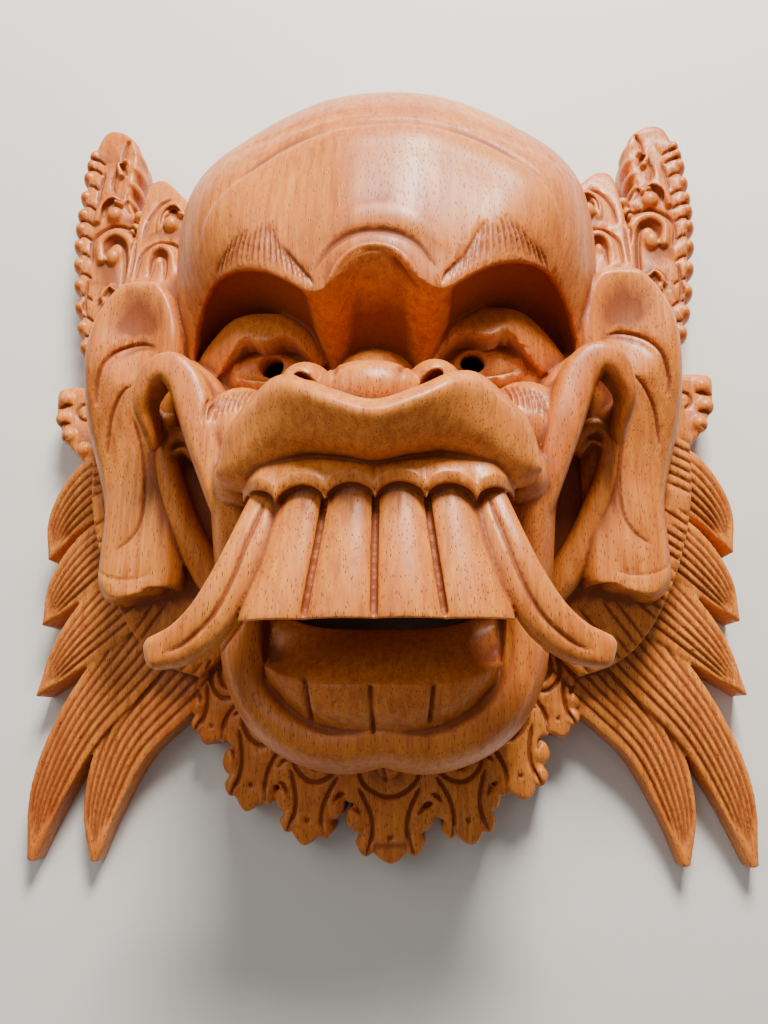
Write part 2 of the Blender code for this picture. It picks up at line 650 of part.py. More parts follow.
def beard():
    """Seven scroll leaves around the chin, each with two pairs of side lobes and a blunt tip."""
    right = [(0.15, 0.99), (0.45, 0.89), (0.6, 0.8), (0.5, 0.71), (0.82, 0.68), (0.9, 0.57), (0.72, 0.49),
             (1.0, 0.43), (1.02, 0.28), (0.8, 0.14), (0.8, -0.1)]
    outline = np.array(right + [(-x, y) for x, y in right[::-1]])
    arc = sorted(tuple(in_leaf(base, tip, half, (0, 0.5))) for base, tip, half in beard_leaves())
    forms = [plate(arc + [(57, -16), (-57, -16)], BEARD_THICKNESS)]
    for base, tip, half in beard_leaves():
        spots = in_leaf(base, tip, half, outline)
        forms.append(plate(spots, BEARD_THICKNESS + 4 * (1 - outline[:, 1])))
        bead = in_leaf(base, tip, half, (0, 0.2))
        radii = (half * 0.4, half * 0.45, 4)
        forms.append(ellipsoid((bead[0], bead[1], BEARD_THICKNESS + 3.5), radii, (0, 0, 0), 4, 6))
    return forms


def hollow():
    """Cutter for the hollow behind the face."""
    middle = (HOLLOW_TOP + HOLLOW_BOTTOM) / 2
    half_length = (HOLLOW_TOP - HOLLOW_BOTTOM) / 2
    rings = []
    for share in (-0.3, 0.0, 0.45, 0.72, 0.9, 0.985):
        size = (1 - max(share, 0) ** 3) ** (1 / 3)
        row = []
        for angle in np.linspace(0, 2 * math.pi, 24, endpoint=False):
            across = math.copysign(abs(math.cos(angle)) ** 0.8, math.cos(angle))
            along = math.copysign(abs(math.sin(angle)) ** 0.8, math.sin(angle))
            y = middle + along * size * half_length
            behind_brow = min(max((y - 80) / 30, 0), 1)
            depth = HOLLOW_DEPTH + (HOLLOW_FOREHEAD_DEPTH - HOLLOW_DEPTH) * behind_brow
            row.append((across * size * HOLLOW_HALF_WIDTH, y, share * depth))
        rings.append(row)
    return loft(rings)


def back_trim():
    """Cutter that leaves the back flat."""
    far = 400.0
    rings = []
    for height in (-far / 4, 0.0):
        rings.append([(-far, -far, height), (far, -far, height), (far, far, height), (-far, far, height)])
    return loft(rings)


def mirrored(form, side):
    """The same form on the left or the right."""
    points, faces = form
    return np.array(points) * np.array([side, 1, 1]), faces


def make_object(name, forms, material=None):
    """One object from closed forms, all facing outward."""
    shape = bmesh.new()
    for points, faces in forms:
        piece = bmesh.new()
        corners = [piece.verts.new(np.array(p) * MM) for p in points]
        for face in faces:
            piece.faces.new([corners[k] for k in face])
        bmesh.ops.remove_doubles(piece, verts=piece.verts, dist=1e-6)
        bmesh.ops.recalc_face_normals(piece, faces=piece.faces)
        bmesh.ops.triangulate(piece, faces=piece.faces)
        part = bpy.data.meshes.new(name + "_part")
        piece.to_mesh(part)
        piece.free()
        shape.from_mesh(part)
        bpy.data.meshes.remove(part)
    mesh = bpy.data.meshes.new(name)
    shape.to_mesh(mesh)
    shape.free()
    made = bpy.data.objects.new(name, mesh)
    bpy.context.scene.collection.objects.link(made)
    if material:
        mesh.materials.append(material)
    return made


def cutter(name, forms):
    made = make_object(name, forms)
    made.hide_render = True
    made.display_type = "WIRE"
    return made


def cut(target, tool, itself=False):
    change = target.modifiers.new(tool.name, "BOOLEAN")
    change.operation = "DIFFERENCE"
    change.object = tool
    change.use_self = itself


def wood():
    material = bpy.data.materials.new("oiled_wood")
    material.use_nodes = True
    shader = material.node_tree.nodes["Principled BSDF"]
    shader.inputs["Base Color"].default_value = (0.50, 0.20, 0.065, 1)
    shader.inputs["Roughness"].default_value = 0.42
    shader.inputs["Metallic"].default_value = 0.0
    return material


def both(make, lean=0.0):
    """The same forms on both sides, moved together across the face by a small lean."""
    forms = []
    for side in (-1, 1):
        made = make(side) if make is crests else make()
        if isinstance(made, tuple):
            made = [made]
        forms += shifted([mirrored(form, side) for form in made], lean)
    return forms


def shifted(forms, x):
    return [(np.array(points) + (x, 0, 0), faces) for points, faces in forms]


def mask():
    forms = [skull(), face(), upper_lip(), gum(), lower_lip(), lower_teeth()]
    forms += bridge() + nose() + beard()
    forms += [tooth(k) for k in range(TOOTH_COUNT)]
    for make in (cheek, mouth_corner, tusk, ear_base, ear_hook, ear_folds):
        forms += both(make)
    for make in (eye_mound, upper_lid, ear_flap, feathers):
        forms += both(make, FACE_LEAN)
    for make in (crests, side_ornament):
        forms += both(make, CREST_LEAN)
    corners = np.vstack([points for points, _ in forms])
    middle = (corners.min(axis=0) + corners.max(axis=0)) / 2
    made = make_object("barong_mask", forms, wood())
    cutters = [("back_trim", [back_trim()]), ("hollow", [hollow()]), ("mouth_slit", [mouth_slit()]),
               ("eye_openings", both(eye_opening, FACE_LEAN)), ("pupils", [pupil_drill(-1), pupil_drill(1)]),
               ("nostrils", [nostril(-1), nostril(1)])]
    for name, tools in cutters:
        tool = cutter(name, tools)
        cut(made, tool, name == "back_trim")
        tool.location = (-middle[0] * MM, -middle[1] * MM, 0)
    made.location = (-middle[0] * MM, -middle[1] * MM, 0)
    tidy = made.modifiers.new("flat_faces", "DECIMATE")
    tidy.decimate_type = "DISSOLVE"
    tidy.angle_limit = math.radians(FLAT_ANGLE)
    made.data.shade_smooth()
    made.data.set_sharp_from_angle(angle=math.radians(40))
    return made


mask()
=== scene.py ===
# Barong mask: the carving in full, its oiled wood, the floor, the light and the camera.
import math

import bmesh
import bpy
import numpy as np
from mathutils import Matrix, Vector


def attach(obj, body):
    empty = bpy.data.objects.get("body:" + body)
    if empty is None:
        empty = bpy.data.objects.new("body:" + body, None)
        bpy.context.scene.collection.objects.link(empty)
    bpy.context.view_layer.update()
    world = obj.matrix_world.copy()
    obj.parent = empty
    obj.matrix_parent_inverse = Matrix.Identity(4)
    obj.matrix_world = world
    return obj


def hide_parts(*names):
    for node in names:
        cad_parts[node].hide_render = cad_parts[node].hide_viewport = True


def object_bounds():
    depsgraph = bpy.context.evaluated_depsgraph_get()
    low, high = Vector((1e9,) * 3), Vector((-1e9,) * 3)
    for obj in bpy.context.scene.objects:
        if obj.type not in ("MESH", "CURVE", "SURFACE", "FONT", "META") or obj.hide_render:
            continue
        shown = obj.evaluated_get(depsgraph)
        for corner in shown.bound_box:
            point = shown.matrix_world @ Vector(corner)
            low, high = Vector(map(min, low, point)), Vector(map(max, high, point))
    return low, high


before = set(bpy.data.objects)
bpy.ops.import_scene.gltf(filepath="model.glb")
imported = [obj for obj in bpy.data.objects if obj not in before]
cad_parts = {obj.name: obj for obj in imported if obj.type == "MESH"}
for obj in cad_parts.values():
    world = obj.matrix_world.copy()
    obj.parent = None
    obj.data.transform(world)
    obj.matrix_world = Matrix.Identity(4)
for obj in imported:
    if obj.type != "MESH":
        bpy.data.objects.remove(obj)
cad_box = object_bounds()

MM = 0.001

# The carving's places are in millimetres from a point on the back plane below the mouth's upper edge.
# This is where that point lies in the frame.
PLACE = (3.5163, -45.7541)

# Fineness of the forms, of the joined surface and of the map of small carving
FINE = 4
VOXEL = 0.5
MAP_CELL = 0.2
MAP_CORNER = (-136.0, -106.0)
MAP_SIZE = (272.0, 304.0)
LOW_CARVING = 36.0
MOST_TRIANGLES = 196000

# Skull and forehead
SKULL_HALF_WIDTH = 78.0
SKULL_TOP = 183.0
BROW_OVERHANG = 34.0
BROW_HEIGHT = 84.0
BULGE_DEPTH = 14.0
BULGE_HALF_WIDTH = 23.0

# Face between the brow and the chin
FACE_HALF_WIDTH = 70.0
FACE_HEIGHT = 70.0
CHIN_REACH = 63.0
FACE_LEAN = -2.0

# Eyes
EYE_SPREAD = 36.5
EYE_PLACE = 60.0
EYE_HALF_LENGTH = 25.0
EYE_TOP = 58.0
EYE_RECESS = 6.0
LID_DEPTH = 26.0
PUPIL_DIAMETER = 8.2
PUPIL_SPREAD = 33.0
PUPIL_PLACE = 60.0
PUPIL_TILT = 10.0
GAZE_LEAN = -3.5

# Nose
NOSE_PLACE = 37.0
NOSE_TIP_HEIGHT = 99.0
NOSE_HALF_WIDTH = 27.0
NOSTRIL_DIAMETER = 8.0

# Upper lip, gum, teeth and tusks
LIP_HALF_LENGTH = 45.5
LIP_HEIGHT = 107.0
LIP_FULLNESS = 4.5
GUM_HALF_LENGTH = 38.0
TOOTH_COUNT = 4
TEETH_LENGTH = 38.0
TEETH_HALF_SPAN_TOP = 27.0
TEETH_HALF_SPAN_TIP = 36.0
TEETH_THICKNESS = 12.0
TOOTH_BULGE = 4.0
TUSK_THICKNESS = 10.0
TUSK_REACH = 59.0

# Lower jaw
LOWER_LIP_WIDTH = 14.0
LOWER_TEETH_HEIGHT = 73.0
LOWER_TEETH_HALF_SPAN = 34.0
MOUTH_SLIT_HALF_LENGTH = 30.0
MOUTH_SLIT_WIDTH = 18.0
MOUTH_SLIT_PLACE = -17.0

# Ears
EAR_REACH = 100.8
EAR_LENGTH = 112.5
EAR_BOTTOM = -13.0
EAR_LOBE_HEIGHT = 41.0
EAR_RIM_HEIGHT = 57.0
EAR_HOOK_HEIGHT = 73.0
EAR_HOOK_WIDTH = 13.0

# Crests, side ornaments, feathers and beard
CREST_TIP = 187.0
CREST_TIP_LEAN = 3.8
CREST_REACH = 122.5
CREST_THICKNESS = 19.0
CREST_INNER_THICKNESS = 27.0
CREST_BEADS = 12
CREST_LEAN = -4.0
ORNAMENT_REACH = 126.0
ORNAMENT_THICKNESS = 15.0
FEATHER_REACH = 124.0
FEATHER_TIP = 99.0
FEATHER_TIP_THICKNESS = 7.0
FEATHER_ROOT_THICKNESS = 24.0
FEATHER_STEP = 2.2
BEARD_REACH = 98.0
BEARD_THICKNESS = 15.0

# Hollow behind the face
HOLLOW_HALF_WIDTH = 58.0
HOLLOW_DEPTH = 50.0
HOLLOW_FOREHEAD_DEPTH = 66.0
HOLLOW_BOTTOM = -34.0
HOLLOW_TOP = 154.0

# Inside of the mouth, where the gouge's strokes are left out
MOUTH_INSIDE_HALF_WIDTH = 40
MOUTH_INSIDE_BOTTOM = -32
MOUTH_INSIDE_TOP = 8
MOUTH_INSIDE_HEIGHT = 72

# Outer edge of a crest, which its beads follow, and height where its two halves begin to differ
CREST_EDGE = [(120.3, 176), (121.8, 167.5), (122.5, 152), (122.8, 140), (121.5, 124), (119, 106), (115.5, 90)]
CREST_STRETCH_FROM = 140.0
CREST_DRAWN_TIP = 187.0
CREST_DRAWN_REACH = 122.5

# Colours of the oiled wood
WHITE = (1.0, 1.0, 1.0)
BLACK = (0.0, 0.0, 0.0)
DARK_GRAIN = (0.42, 0.110, 0.017)
MIDDLE_GRAIN = (0.64, 0.202, 0.031)
LIGHT_GRAIN = (0.80, 0.302, 0.052)
WIDE_SHADE = (0.80, 0.66, 0.60)
FINE_SHADE = (0.86, 0.82, 0.78)
PORE_COLOUR = (0.13, 0.033, 0.010, 1)
# Red-brown stain and painted shade in the recesses: its colour and how strongly it is laid on
STAIN_AND_SHADE_COLOUR = (0.17, 0.030, 0.008, 1)
STAIN_AND_SHADE_STRENGTH = (0.82, 0.82, 0.82)

# Floor, lights and camera: places in metres in the frame, the camera's in the carving's millimetres
FLOOR_COLOUR = (0.62, 0.61, 0.59, 1)
FLOOR_HALF_SIZE = 2.5
FLOOR_DROP = 0.0002
LIGHT_AIM = (0, 0, 0.04)
WINDOW_SPOT = (0.16, 0.72, 0.6)
WINDOW_SIZE = 0.3
WINDOW_POWER = 28
WINDOW_COLOUR = (1, 0.94, 0.86)
FILL_SPOT = (-0.45, 0.3, 0.8)
FILL_SIZE = 0.7
FILL_POWER = 3
FILL_COLOUR = (1, 0.96, 0.9)
ROOM_COLOUR = (1.0, 0.98, 0.95, 1)
ROOM_STRENGTH = 0.28
CAMERA_SPOT = (12.5, -52, 288)
CAMERA_AIM = (2.5, 0, 95)
SENSOR_WIDTH = 36
FOCAL_PIXELS = 770
PICTURE_PIXELS = 768


def through(points, count):
    """Smooth curve through a few points, as evenly spaced points."""
    knots = np.array(points, float)
    if knots.ndim == 1:
        knots = knots[:, None]
    ends = np.vstack([2 * knots[0] - knots[1], knots, 2 * knots[-1] - knots[-2]])
    place = np.linspace(0, len(knots) - 1, count)
    first = np.minimum(place.astype(int), len(knots) - 2)
    t = (place - first)[:, None]
    a, b, c, d = ends[first], ends[first + 1], ends[first + 2], ends[first + 3]
    curve = 0.5 * (2 * b + (c - a) * t + (2 * a - 5 * b + 4 * c - d) * t ** 2
                   + (3 * b - a - 3 * c + d) * t ** 3)
    return curve if curve.shape[1] > 1 else curve[:, 0]


def ring_through(points, count):
    """Smooth closed curve through a few points."""
    knots = np.array(points, float)
    long = through(np.vstack([knots[-2:], knots, knots[:3]]), (len(knots) + 4) * count + 1)
    return long[2 * count:2 * count + len(knots) * count]


def mirrored_curve(points, count):
    """Curve across the face from its right half, given from the middle outward."""
    right = np.array(points, float)
    left = right[:0:-1] * np.array([-1] + [1] * (right.shape[1] - 1))
    return through(np.vstack([left, right]), 2 * count - 1)


def squared(values, power):
    """Values with their signs kept and their sizes raised to a power, for rounded squares."""
    return np.sign(values) * np.abs(values) ** power


def eased(share):
    """A share from 0 to 1 with a soft start and end."""
    return share * share * (3 - 2 * share)


def border_of(rows, cols):
    """Numbers of the points round the edge of a grid."""
    border = list(range(cols))
    border += [r * cols + cols - 1 for r in range(1, rows)]
    border += [(rows - 1) * cols + c for c in range(cols - 2, -1, -1)]
    border += [r * cols for r in range(rows - 2, 0, -1)]
    return border


def slab(top, bottom):
    """Closed form between two grids of points of the same size."""
    rows, cols = top.shape[:2]
    points = np.vstack([top.reshape(-1, 3), bottom.reshape(-1, 3)])
    under = rows * cols
    faces = []
    for r in range(rows - 1):
        for c in range(cols - 1):
            a = r * cols + c
            quad = [a, a + 1, a + cols + 1, a + cols]
            faces.append(quad)
            faces.append([under + k for k in reversed(quad)])
    border = border_of(rows, cols)
    for a, b in zip(border, border[1:] + border[:1]):
        faces.append([b, a, under + a, under + b])
    return points, faces


def block(top, floor=0.0):
    """Closed form from a grid of points straight down to a flat underside."""
    bottom = top.copy()
    bottom[:, :, 2] = floor
    return slab(top, bottom)


def loft(rings, start=None, end=None):
    """Closed form through rings of points, with a point at each end."""
    rings = np.array(rings, float)
    count, around = rings.shape[:2]
    start = rings[0].mean(axis=0) if start is None else np.array(start, float)
    end = rings[-1].mean(axis=0) if end is None else np.array(end, float)
    points = np.vstack([rings.reshape(-1, 3), start, end])
    faces = []
    for r in range(count - 1):
        for k in range(around):
            n = (k + 1) % around
            faces.append([r * around + k, r * around + n, (r + 1) * around + n, (r + 1) * around + k])
    last = (count - 1) * around
    for k in range(around):
        n = (k + 1) % around
        faces.append([n, k, count * around])
        faces.append([last + k, last + n, count * around + 1])
    return points, faces


def tube(path, widths, heights, around=28, square=1.0, up=(0, 0, 1)):
    """Closed band along a path: half widths across it and half heights along up, with round ends."""
    path = np.array(path, float)
    along = np.gradient(path, axis=0)
    along /= np.linalg.norm(along, axis=1)[:, None]
    rise = np.array(up, float) - along * (along @ np.array(up, float))[:, None]
    rise /= np.linalg.norm(rise, axis=1)[:, None]
    across = np.cross(along, rise)
    angle = np.arange(around) * 2 * math.pi / around + math.pi / around
    sideways = squared(np.cos(angle), square)
    upward = squared(np.sin(angle), square)
    last = len(path) - 1
    stations = [(0, -0.5, 0.45), (0, -0.35, 0.8)]
    stations += [(k, 0, 1) for k in range(last + 1)]
    stations += [(last, 0.35, 0.8), (last, 0.5, 0.45)]
    rings = []
    for k, away, share in stations:
        turn = across[k] * (sideways * widths[k])[:, None] + rise[k] * (upward * heights[k])[:, None]
        rings.append(path[k] + along[k] * away * widths[k] + turn * share)
    return loft(rings)


def turned(points, turn):
    """Points turned by angles in degrees about X, then Y, then Z."""
    x, y, z = (math.radians(a) for a in turn)
    about_x = np.array([[1, 0, 0], [0, math.cos(x), -math.sin(x)], [0, math.sin(x), math.cos(x)]])
    about_y = np.array([[math.cos(y), 0, math.sin(y)], [0, 1, 0], [-math.sin(y), 0, math.cos(y)]])
    about_z = np.array([[math.cos(z), -math.sin(z), 0], [math.sin(z), math.cos(z), 0], [0, 0, 1]])
    return points @ (about_z @ about_y @ about_x).T


def ellipsoid(centre, radii, turn=(0, 0, 0), rings=18, around=32):
    """Closed ellipsoid, its poles on its own Z axis."""
    angle = np.arange(around) * 2 * math.pi / around
    rows = []
    for r in range(1, rings):
        tilt = math.pi * r / rings
        rows.append(np.column_stack([np.cos(angle) * math.sin(tilt), np.sin(angle) * math.sin(tilt),
                                     np.full(around, math.cos(tilt))]))
    shape = np.vstack([np.vstack(rows), [[0, 0, 1], [0, 0, -1]]]) * np.array(radii, float)
    shape = turned(shape, turn) + np.array(centre, float)
    return loft(shape[:-2].reshape(rings - 1, around, 3), shape[-2], shape[-1])


def leaf(spine, half_widths, heights, rows, cols, crown=0.0):
    """Grid of points for a leaf: a curved middle line, half widths, and heights along it."""
    middle = through(spine, rows)
    width = np.maximum(through(half_widths, rows), 0.5)
    height = through(heights, rows)
    along = np.gradient(middle, axis=0)
    along /= np.linalg.norm(along, axis=1)[:, None]
    side = np.column_stack([along[:, 1], -along[:, 0]])
    across = np.linspace(-1, 1, cols)
    away = width[:, None] * across[None, :]
    grid = np.zeros((rows, cols, 3))
    grid[:, :, :2] = middle[:, None, :] + side[:, None, :] * away[:, :, None]
    grid[:, :, 2] = height[:, None] + crown * (1 - across[None, :] ** 2)
    return grid


def skull():
    """Dome of the skull and forehead, down to the brow and back under it."""
    rim_shares = [(0, 1), (0.43, 0.97), (0.75, 0.89), (0.94, 0.79), (1, 0.67), (1, 0.5), (0.96, 0.33)]
    rim = mirrored_curve([(x * SKULL_HALF_WIDTH, y * SKULL_TOP) for x, y in rim_shares], 14 * FINE)
    brow_shares = [(0, 81, 1.06), (7, 79, 1.06), (14, 72, 1.04), (20, 70.5, 1.02), (28, 76, 1.0),
                   (36, 81, 0.97), (45, 84, 0.92), (54, 83.5, 0.84), (61, 77, 0.72), (65, 66, 0.61),
                   (66, 52, 0.54)]
    brow = mirrored_curve([(x, y, z * BROW_HEIGHT) for x, y, z in brow_shares], 14 * FINE)
    rows = []
    for v in np.linspace(0, 1, 8 * FINE):
        inward = 1 - math.cos(v * math.pi / 2) ** 0.8
        upward = math.sin(v * math.pi / 2) ** 0.8
        flat = rim + (brow[:, :2] - rim) * inward
        rows.append(np.column_stack([flat, brow[:, 2] * upward]))
    bulge = BULGE_DEPTH * np.maximum(1 - (brow[:, 0] / BULGE_HALF_WIDTH) ** 2, 0) ** 0.75
    under = [(1, 0, 0, 0), (0.985, 1.5, 0.2, 0.5), (0.96, -1.0, 0.6, 0.85), (0.9, -8.0, 1.0, 1.0)]
    for shrink, back, drop, swell in through(under, 20)[1:]:
        rows.append(np.column_stack([brow[:, 0] * shrink, brow[:, 1] + back - bulge * swell,
                                     brow[:, 2] - drop * BROW_OVERHANG]))
    return block(np.array(rows))


def face():
    """Plain body of the face that the features stand on."""
    shape = [(104, 0.94, 0.83), (84, 1.0, 0.74), (66, 1.0, 0.75), (50, 0.97, 0.85), (36, 0.92, 0.96),
             (20, 0.87, 1.0), (4, 0.82, 0.92), (-10, 0.80, 0.72), (-24, 0.77, 0.60), (-40, 0.70, 0.58),
             (-54, 0.52, 0.56), (-CHIN_REACH, 0.26, 0.46)]
    across = np.sin(np.linspace(-1, 1, 9 * FINE) * math.pi / 2)
    rise = (1 - np.minimum(np.abs(across), 1) ** 3.2) ** (1 / 3.2)
    rows = []
    for y, width, height in through(shape, 12 * FINE):
        rows.append(np.column_stack([across * width * FACE_HALF_WIDTH, np.full(len(across), y),
                                     rise * height * FACE_HEIGHT]))
    return block(np.array(rows))


def eye_mound():
    """Swollen upper and lower lid of the right eye."""
    return ellipsoid((EYE_SPREAD, EYE_PLACE, EYE_TOP - 15), (EYE_HALF_LENGTH + 2, 18, 14), (0, 0, 4))


def upper_lid():
    """Broad band of the right upper lid, arching from the nose to the temple over a wavy edge."""
    count = 12 * FINE
    top = through([(15, 62, 56), (18, 70, 58.5), (26, 76.5, 60), (37, 78.5, 60), (48, 77.5, 58),
                   (58, 71, 52), (66, 62, 46)], count)
    edge = through([(18.5, 58, 60), (23.5, 62.5, 63.5), (29, 65.6, 65.3), (36, 63.4, 66), (42, 65.6, 65),
                    (47, 62.4, 61.5), (54, 57, 54)], count)
    rows = []
    for share in np.linspace(0, 1, 12):
        swell = 1.2 * math.sin(math.pi * share) + 0.4 * share
        rows.append(top + (edge - top) * share + np.array([0, 0, swell]))
    grid = np.array(rows)
    return slab(grid, grid - (0, 0, LID_DEPTH))


def eyeball():
    """Wood of the right eyeball and its lower lid, before the opening is cut."""
    return ellipsoid((EYE_SPREAD - 2.5, EYE_PLACE - 1, EYE_TOP - 10), (18, 12, 13.5), (0, 0, 4))


def eye_opening():
    """Cutter for the opening of the right eye, with a rounded eyeball left at the bottom."""
    upper = [(-18, -2), (-13, 3.5), (-7.5, 7), (-0.5, 4.4), (5.5, 7), (10, 3.5), (14.5, -1)]
    lower = [(14.5, -1), (7, -4.5), (-1, -6.3), (-11, -6), (-18, -2)]
    outline = np.vstack([through(upper, 48)[:-1], through(lower, 40)[:-1]])
    middle = outline.mean(axis=0)
    rings = []
    for share in (0.04, 0.2, 0.35, 0.5, 0.65, 0.78, 0.9, 1.0):
        spots = middle + (outline - middle) * share
        height = EYE_TOP - EYE_RECESS + 6.8 - 5.5 * ((spots[:, 0] / 19) ** 2 + (spots[:, 1] / 9) ** 2)
        rings.append(np.column_stack([spots + (EYE_SPREAD, EYE_PLACE), height]))
    rings.append(np.column_stack([outline + (EYE_SPREAD, EYE_PLACE), np.full(len(outline), EYE_TOP + 30)]))
    return loft(rings)


def pupil_drill(side):
    """Drill for the pupil, leaning with the line of sight."""
    lean = math.tan(math.radians(PUPIL_TILT))
    rings = []
    angle = np.linspace(0, 2 * math.pi, 32, endpoint=False)
    for height in (-10, EYE_TOP + 4):
        away = EYE_TOP - height
        rings.append(np.column_stack([side * PUPIL_SPREAD + GAZE_LEAN + np.cos(angle) * PUPIL_DIAMETER / 2,
                                      PUPIL_PLACE + away * lean + np.sin(angle) * PUPIL_DIAMETER / 2,
                                      np.full(32, height)]))
    return loft(rings)


def bridge():
    """Bridge of the nose under the bulge between the brows."""
    return [ellipsoid((FACE_LEAN, 48, 60), (15, 15, 13))]


def nose():
    """Broad tip with a round wing on each side, one soft mass."""
    tip = NOSE_TIP_HEIGHT
    forms = [ellipsoid((FACE_LEAN, NOSE_PLACE - 1, tip - 14), (17, 10.5, 13.5)),
             ellipsoid((FACE_LEAN, NOSE_PLACE - 5, tip - 28), (27, 12, 21))]
    for side in (-1, 1):
        spread = side * (NOSE_HALF_WIDTH - 8.6) + FACE_LEAN
        forms.append(ellipsoid((spread, NOSE_PLACE + 2.6, tip - 19), (8.9, 8.4, 14.5)))
    return forms


def nostril(side):
    """Blind slanting hole of one nostril, near the lip."""
    radius = NOSTRIL_DIAMETER / 2
    spot = (side * (NOSE_HALF_WIDTH - 9.6) + FACE_LEAN, NOSE_PLACE + 0.2, NOSE_TIP_HEIGHT - 7)
    return ellipsoid(spot, (radius * 0.66, radius * 1.15, radius * 2.4), (12, 0, -side * 42))


def upper_lip():
    """Big rolled upper lip with its wavy top edge."""
    top_shares = [(0, 24, 1.0), (0.26, 28, 0.99), (0.46, 33, 0.965), (0.62, 34.5, 0.925), (0.78, 31, 0.87),
                  (0.92, 26.5, 0.82), (0.985, 22.5, 0.78), (1, 18, 0.76)]
    bottom_shares = [(0, 16, 0.83), (0.22, 17.5, 0.83), (0.4, 18, 0.82), (0.55, 16, 0.81), (0.7, 12.5, 0.785),
                     (0.84, 10, 0.765), (0.95, 11.5, 0.75), (1, 15, 0.745)]
    lines = []
    for shares in (top_shares, bottom_shares):
        right = [(x * LIP_HALF_LENGTH, y, z * LIP_HEIGHT) for x, y, z in shares]
        lines.append(mirrored_curve(right, 11 * FINE))
    rings = []
    for t, b in zip(*lines):
        fall = b - t
        out = np.array([0, fall[2], -fall[1]])
        out *= math.copysign(1, out[2]) / np.linalg.norm(out)
        ring = [t, t + fall * 0.3 + out * LIP_FULLNESS * 0.8, t + fall * 0.65 + out * LIP_FULLNESS, b]
        ring += [b + (0, 5, -9), (t[0], t[1] + 2, t[2] - 26), (t[0], t[1] + 6, t[2] - 9)]
        rings.append(ring_through(ring, 5))
    return loft(rings)


def gum():
    """Gum under the lip, its lower edge in one arc over each tooth and over each tusk."""
    gaps = np.linspace(-1, 1, TOOTH_COUNT + 1) * TEETH_HALF_SPAN_TOP
    half = GUM_HALF_LENGTH
    knots = [-half] + list(gaps) + [half]
    per_arc = 5 * FINE
    places = []
    for a, b in zip(knots, knots[1:]):
        places += [(a + (b - a) * k / per_arc, k / per_arc) for k in range(per_arc)]
    places.append((half, 0.0))
    rings = []
    for x, phase in places:
        bend = (x / half) ** 2
        end = max(abs(x) / half - 0.8, 0) / 0.2
        edge = 4.5 - 1.5 * bend + 4.5 * math.sqrt(max(math.sin(math.pi * phase), 0.0)) + 3 * end ** 2
        height = 94.5 - 5 * bend ** 1.5 - 7 * end ** 2
        rings.append([(x, 25, height - 12), (x, 15, height - 2.5), (x, edge + 3, height - 0.3),
                      (x, edge, height - 1.2), (x, edge + 1, height - 7), (x, 25, height - 31)])
    return loft(rings)


def tooth(index):
    """One big bulging upper tooth, wider at its tip."""
    edges = np.linspace(-1, 1, TOOTH_COUNT + 1)
    left, right = edges[index], edges[index + 1]
    spread = np.sin(np.linspace(-1, 1, 6 * FINE) * math.pi / 2)
    down, sideways = np.meshgrid(np.linspace(0, 1, 5 * FINE), spread, indexing="ij")
    span = TEETH_HALF_SPAN_TOP + (TEETH_HALF_SPAN_TIP - TEETH_HALF_SPAN_TOP) * down ** 1.2
    x = span * (left + right) / 2 + span * (right - left) / 2 * sideways
    y = 10 - TEETH_LENGTH * down
    roundness = np.sqrt(1 - 0.98 * sideways ** 2)
    z = 86.5 + 9.5 * down - 5 * (x / TEETH_HALF_SPAN_TIP) ** 2 + TOOTH_BULGE * roundness - 1.2 * down ** 6
    top = np.stack([x, y, z], axis=2)
    bottom = np.stack([x, y + 3 * down, z - TEETH_THICKNESS - TOOTH_BULGE * (roundness - 1)], axis=2)
    return slab(top, bottom)


def tusk():
    """Right tusk, from beside the teeth outward to its blunt tip, flat on top."""
    count = 13 * FINE
    path = through([(29, 12, 79), (31.5, 4, 82.5), (35, -8, 86), (39, -18, 87), (44.5, -27, 86),
                    (51.5, -32.5, 84), (TUSK_REACH, -35, 82)], count)
    widths = through([4.8, 5, 5.6, 6, 6.2, 5.6, 4.6], count)
    return tube(path, widths, np.full(count, TUSK_THICKNESS / 2), 28, 0.6)


def lower_lip():
    """Thick lower lip in a wide U, running up at both sides to the corners of the upper lip."""
    inner = mirrored_curve([(0, -51.5, 62), (12, -53.5, 62), (23, -50.5, 61), (31, -44, 60), (35.5, -34, 60),
                            (37, -20, 61), (38, -4, 66), (39, 16, 72)], 12 * FINE)
    along = np.gradient(inner[:, :2], axis=0)
    along /= np.linalg.norm(along, axis=1)[:, None]
    outward = np.column_stack([along[:, 1], -along[:, 0]])
    profile = through([(0, 0), (0.3, 2.5), (0.68, 1), (0.95, -6), (1, -14), (0.75, -26), (0.5, -40)], 24)
    profile = np.vstack([profile, [(-0.4, -40)]])
    rings = []
    for (x, y, z), (out_x, out_y) in zip(inner, outward):
        rings.append([(x + out_x * share * LOWER_LIP_WIDTH, y + out_y * share * LOWER_LIP_WIDTH, z + rise)
                      for share, rise in profile])
    return loft(rings)


def lower_teeth():
    """Low curved wall of the lower teeth, its back falling in a hollow curve to the mouth slit."""
    top = LOWER_TEETH_HEIGHT
    line = mirrored_curve([(0, -43, top), (0.4, -43, top - 0.5), (0.72, -41.5, top - 3.5),
                           (1, -37, top - 9)], 7 * FINE)
    line[:, 0] *= LOWER_TEETH_HALF_SPAN
    rings = []
    for x, y, z in line:
        share = 1 - 0.35 * (x / LOWER_TEETH_HALF_SPAN) ** 2
        front = through([(x, y, z), (x * 0.97, y - 7 * share, z - 3), (x * 0.95, y - 13 * share, z - 10)], 8)
        back = through([(x, -18, 48), (x, -25, 55), (x, -34, z - 8), (x, y, z)], 16)[:-1]
        rings.append(np.vstack([front, [(x * 0.95, y - 12, 30), (x * 0.95, -18, 30)], back]))
    return loft(rings)


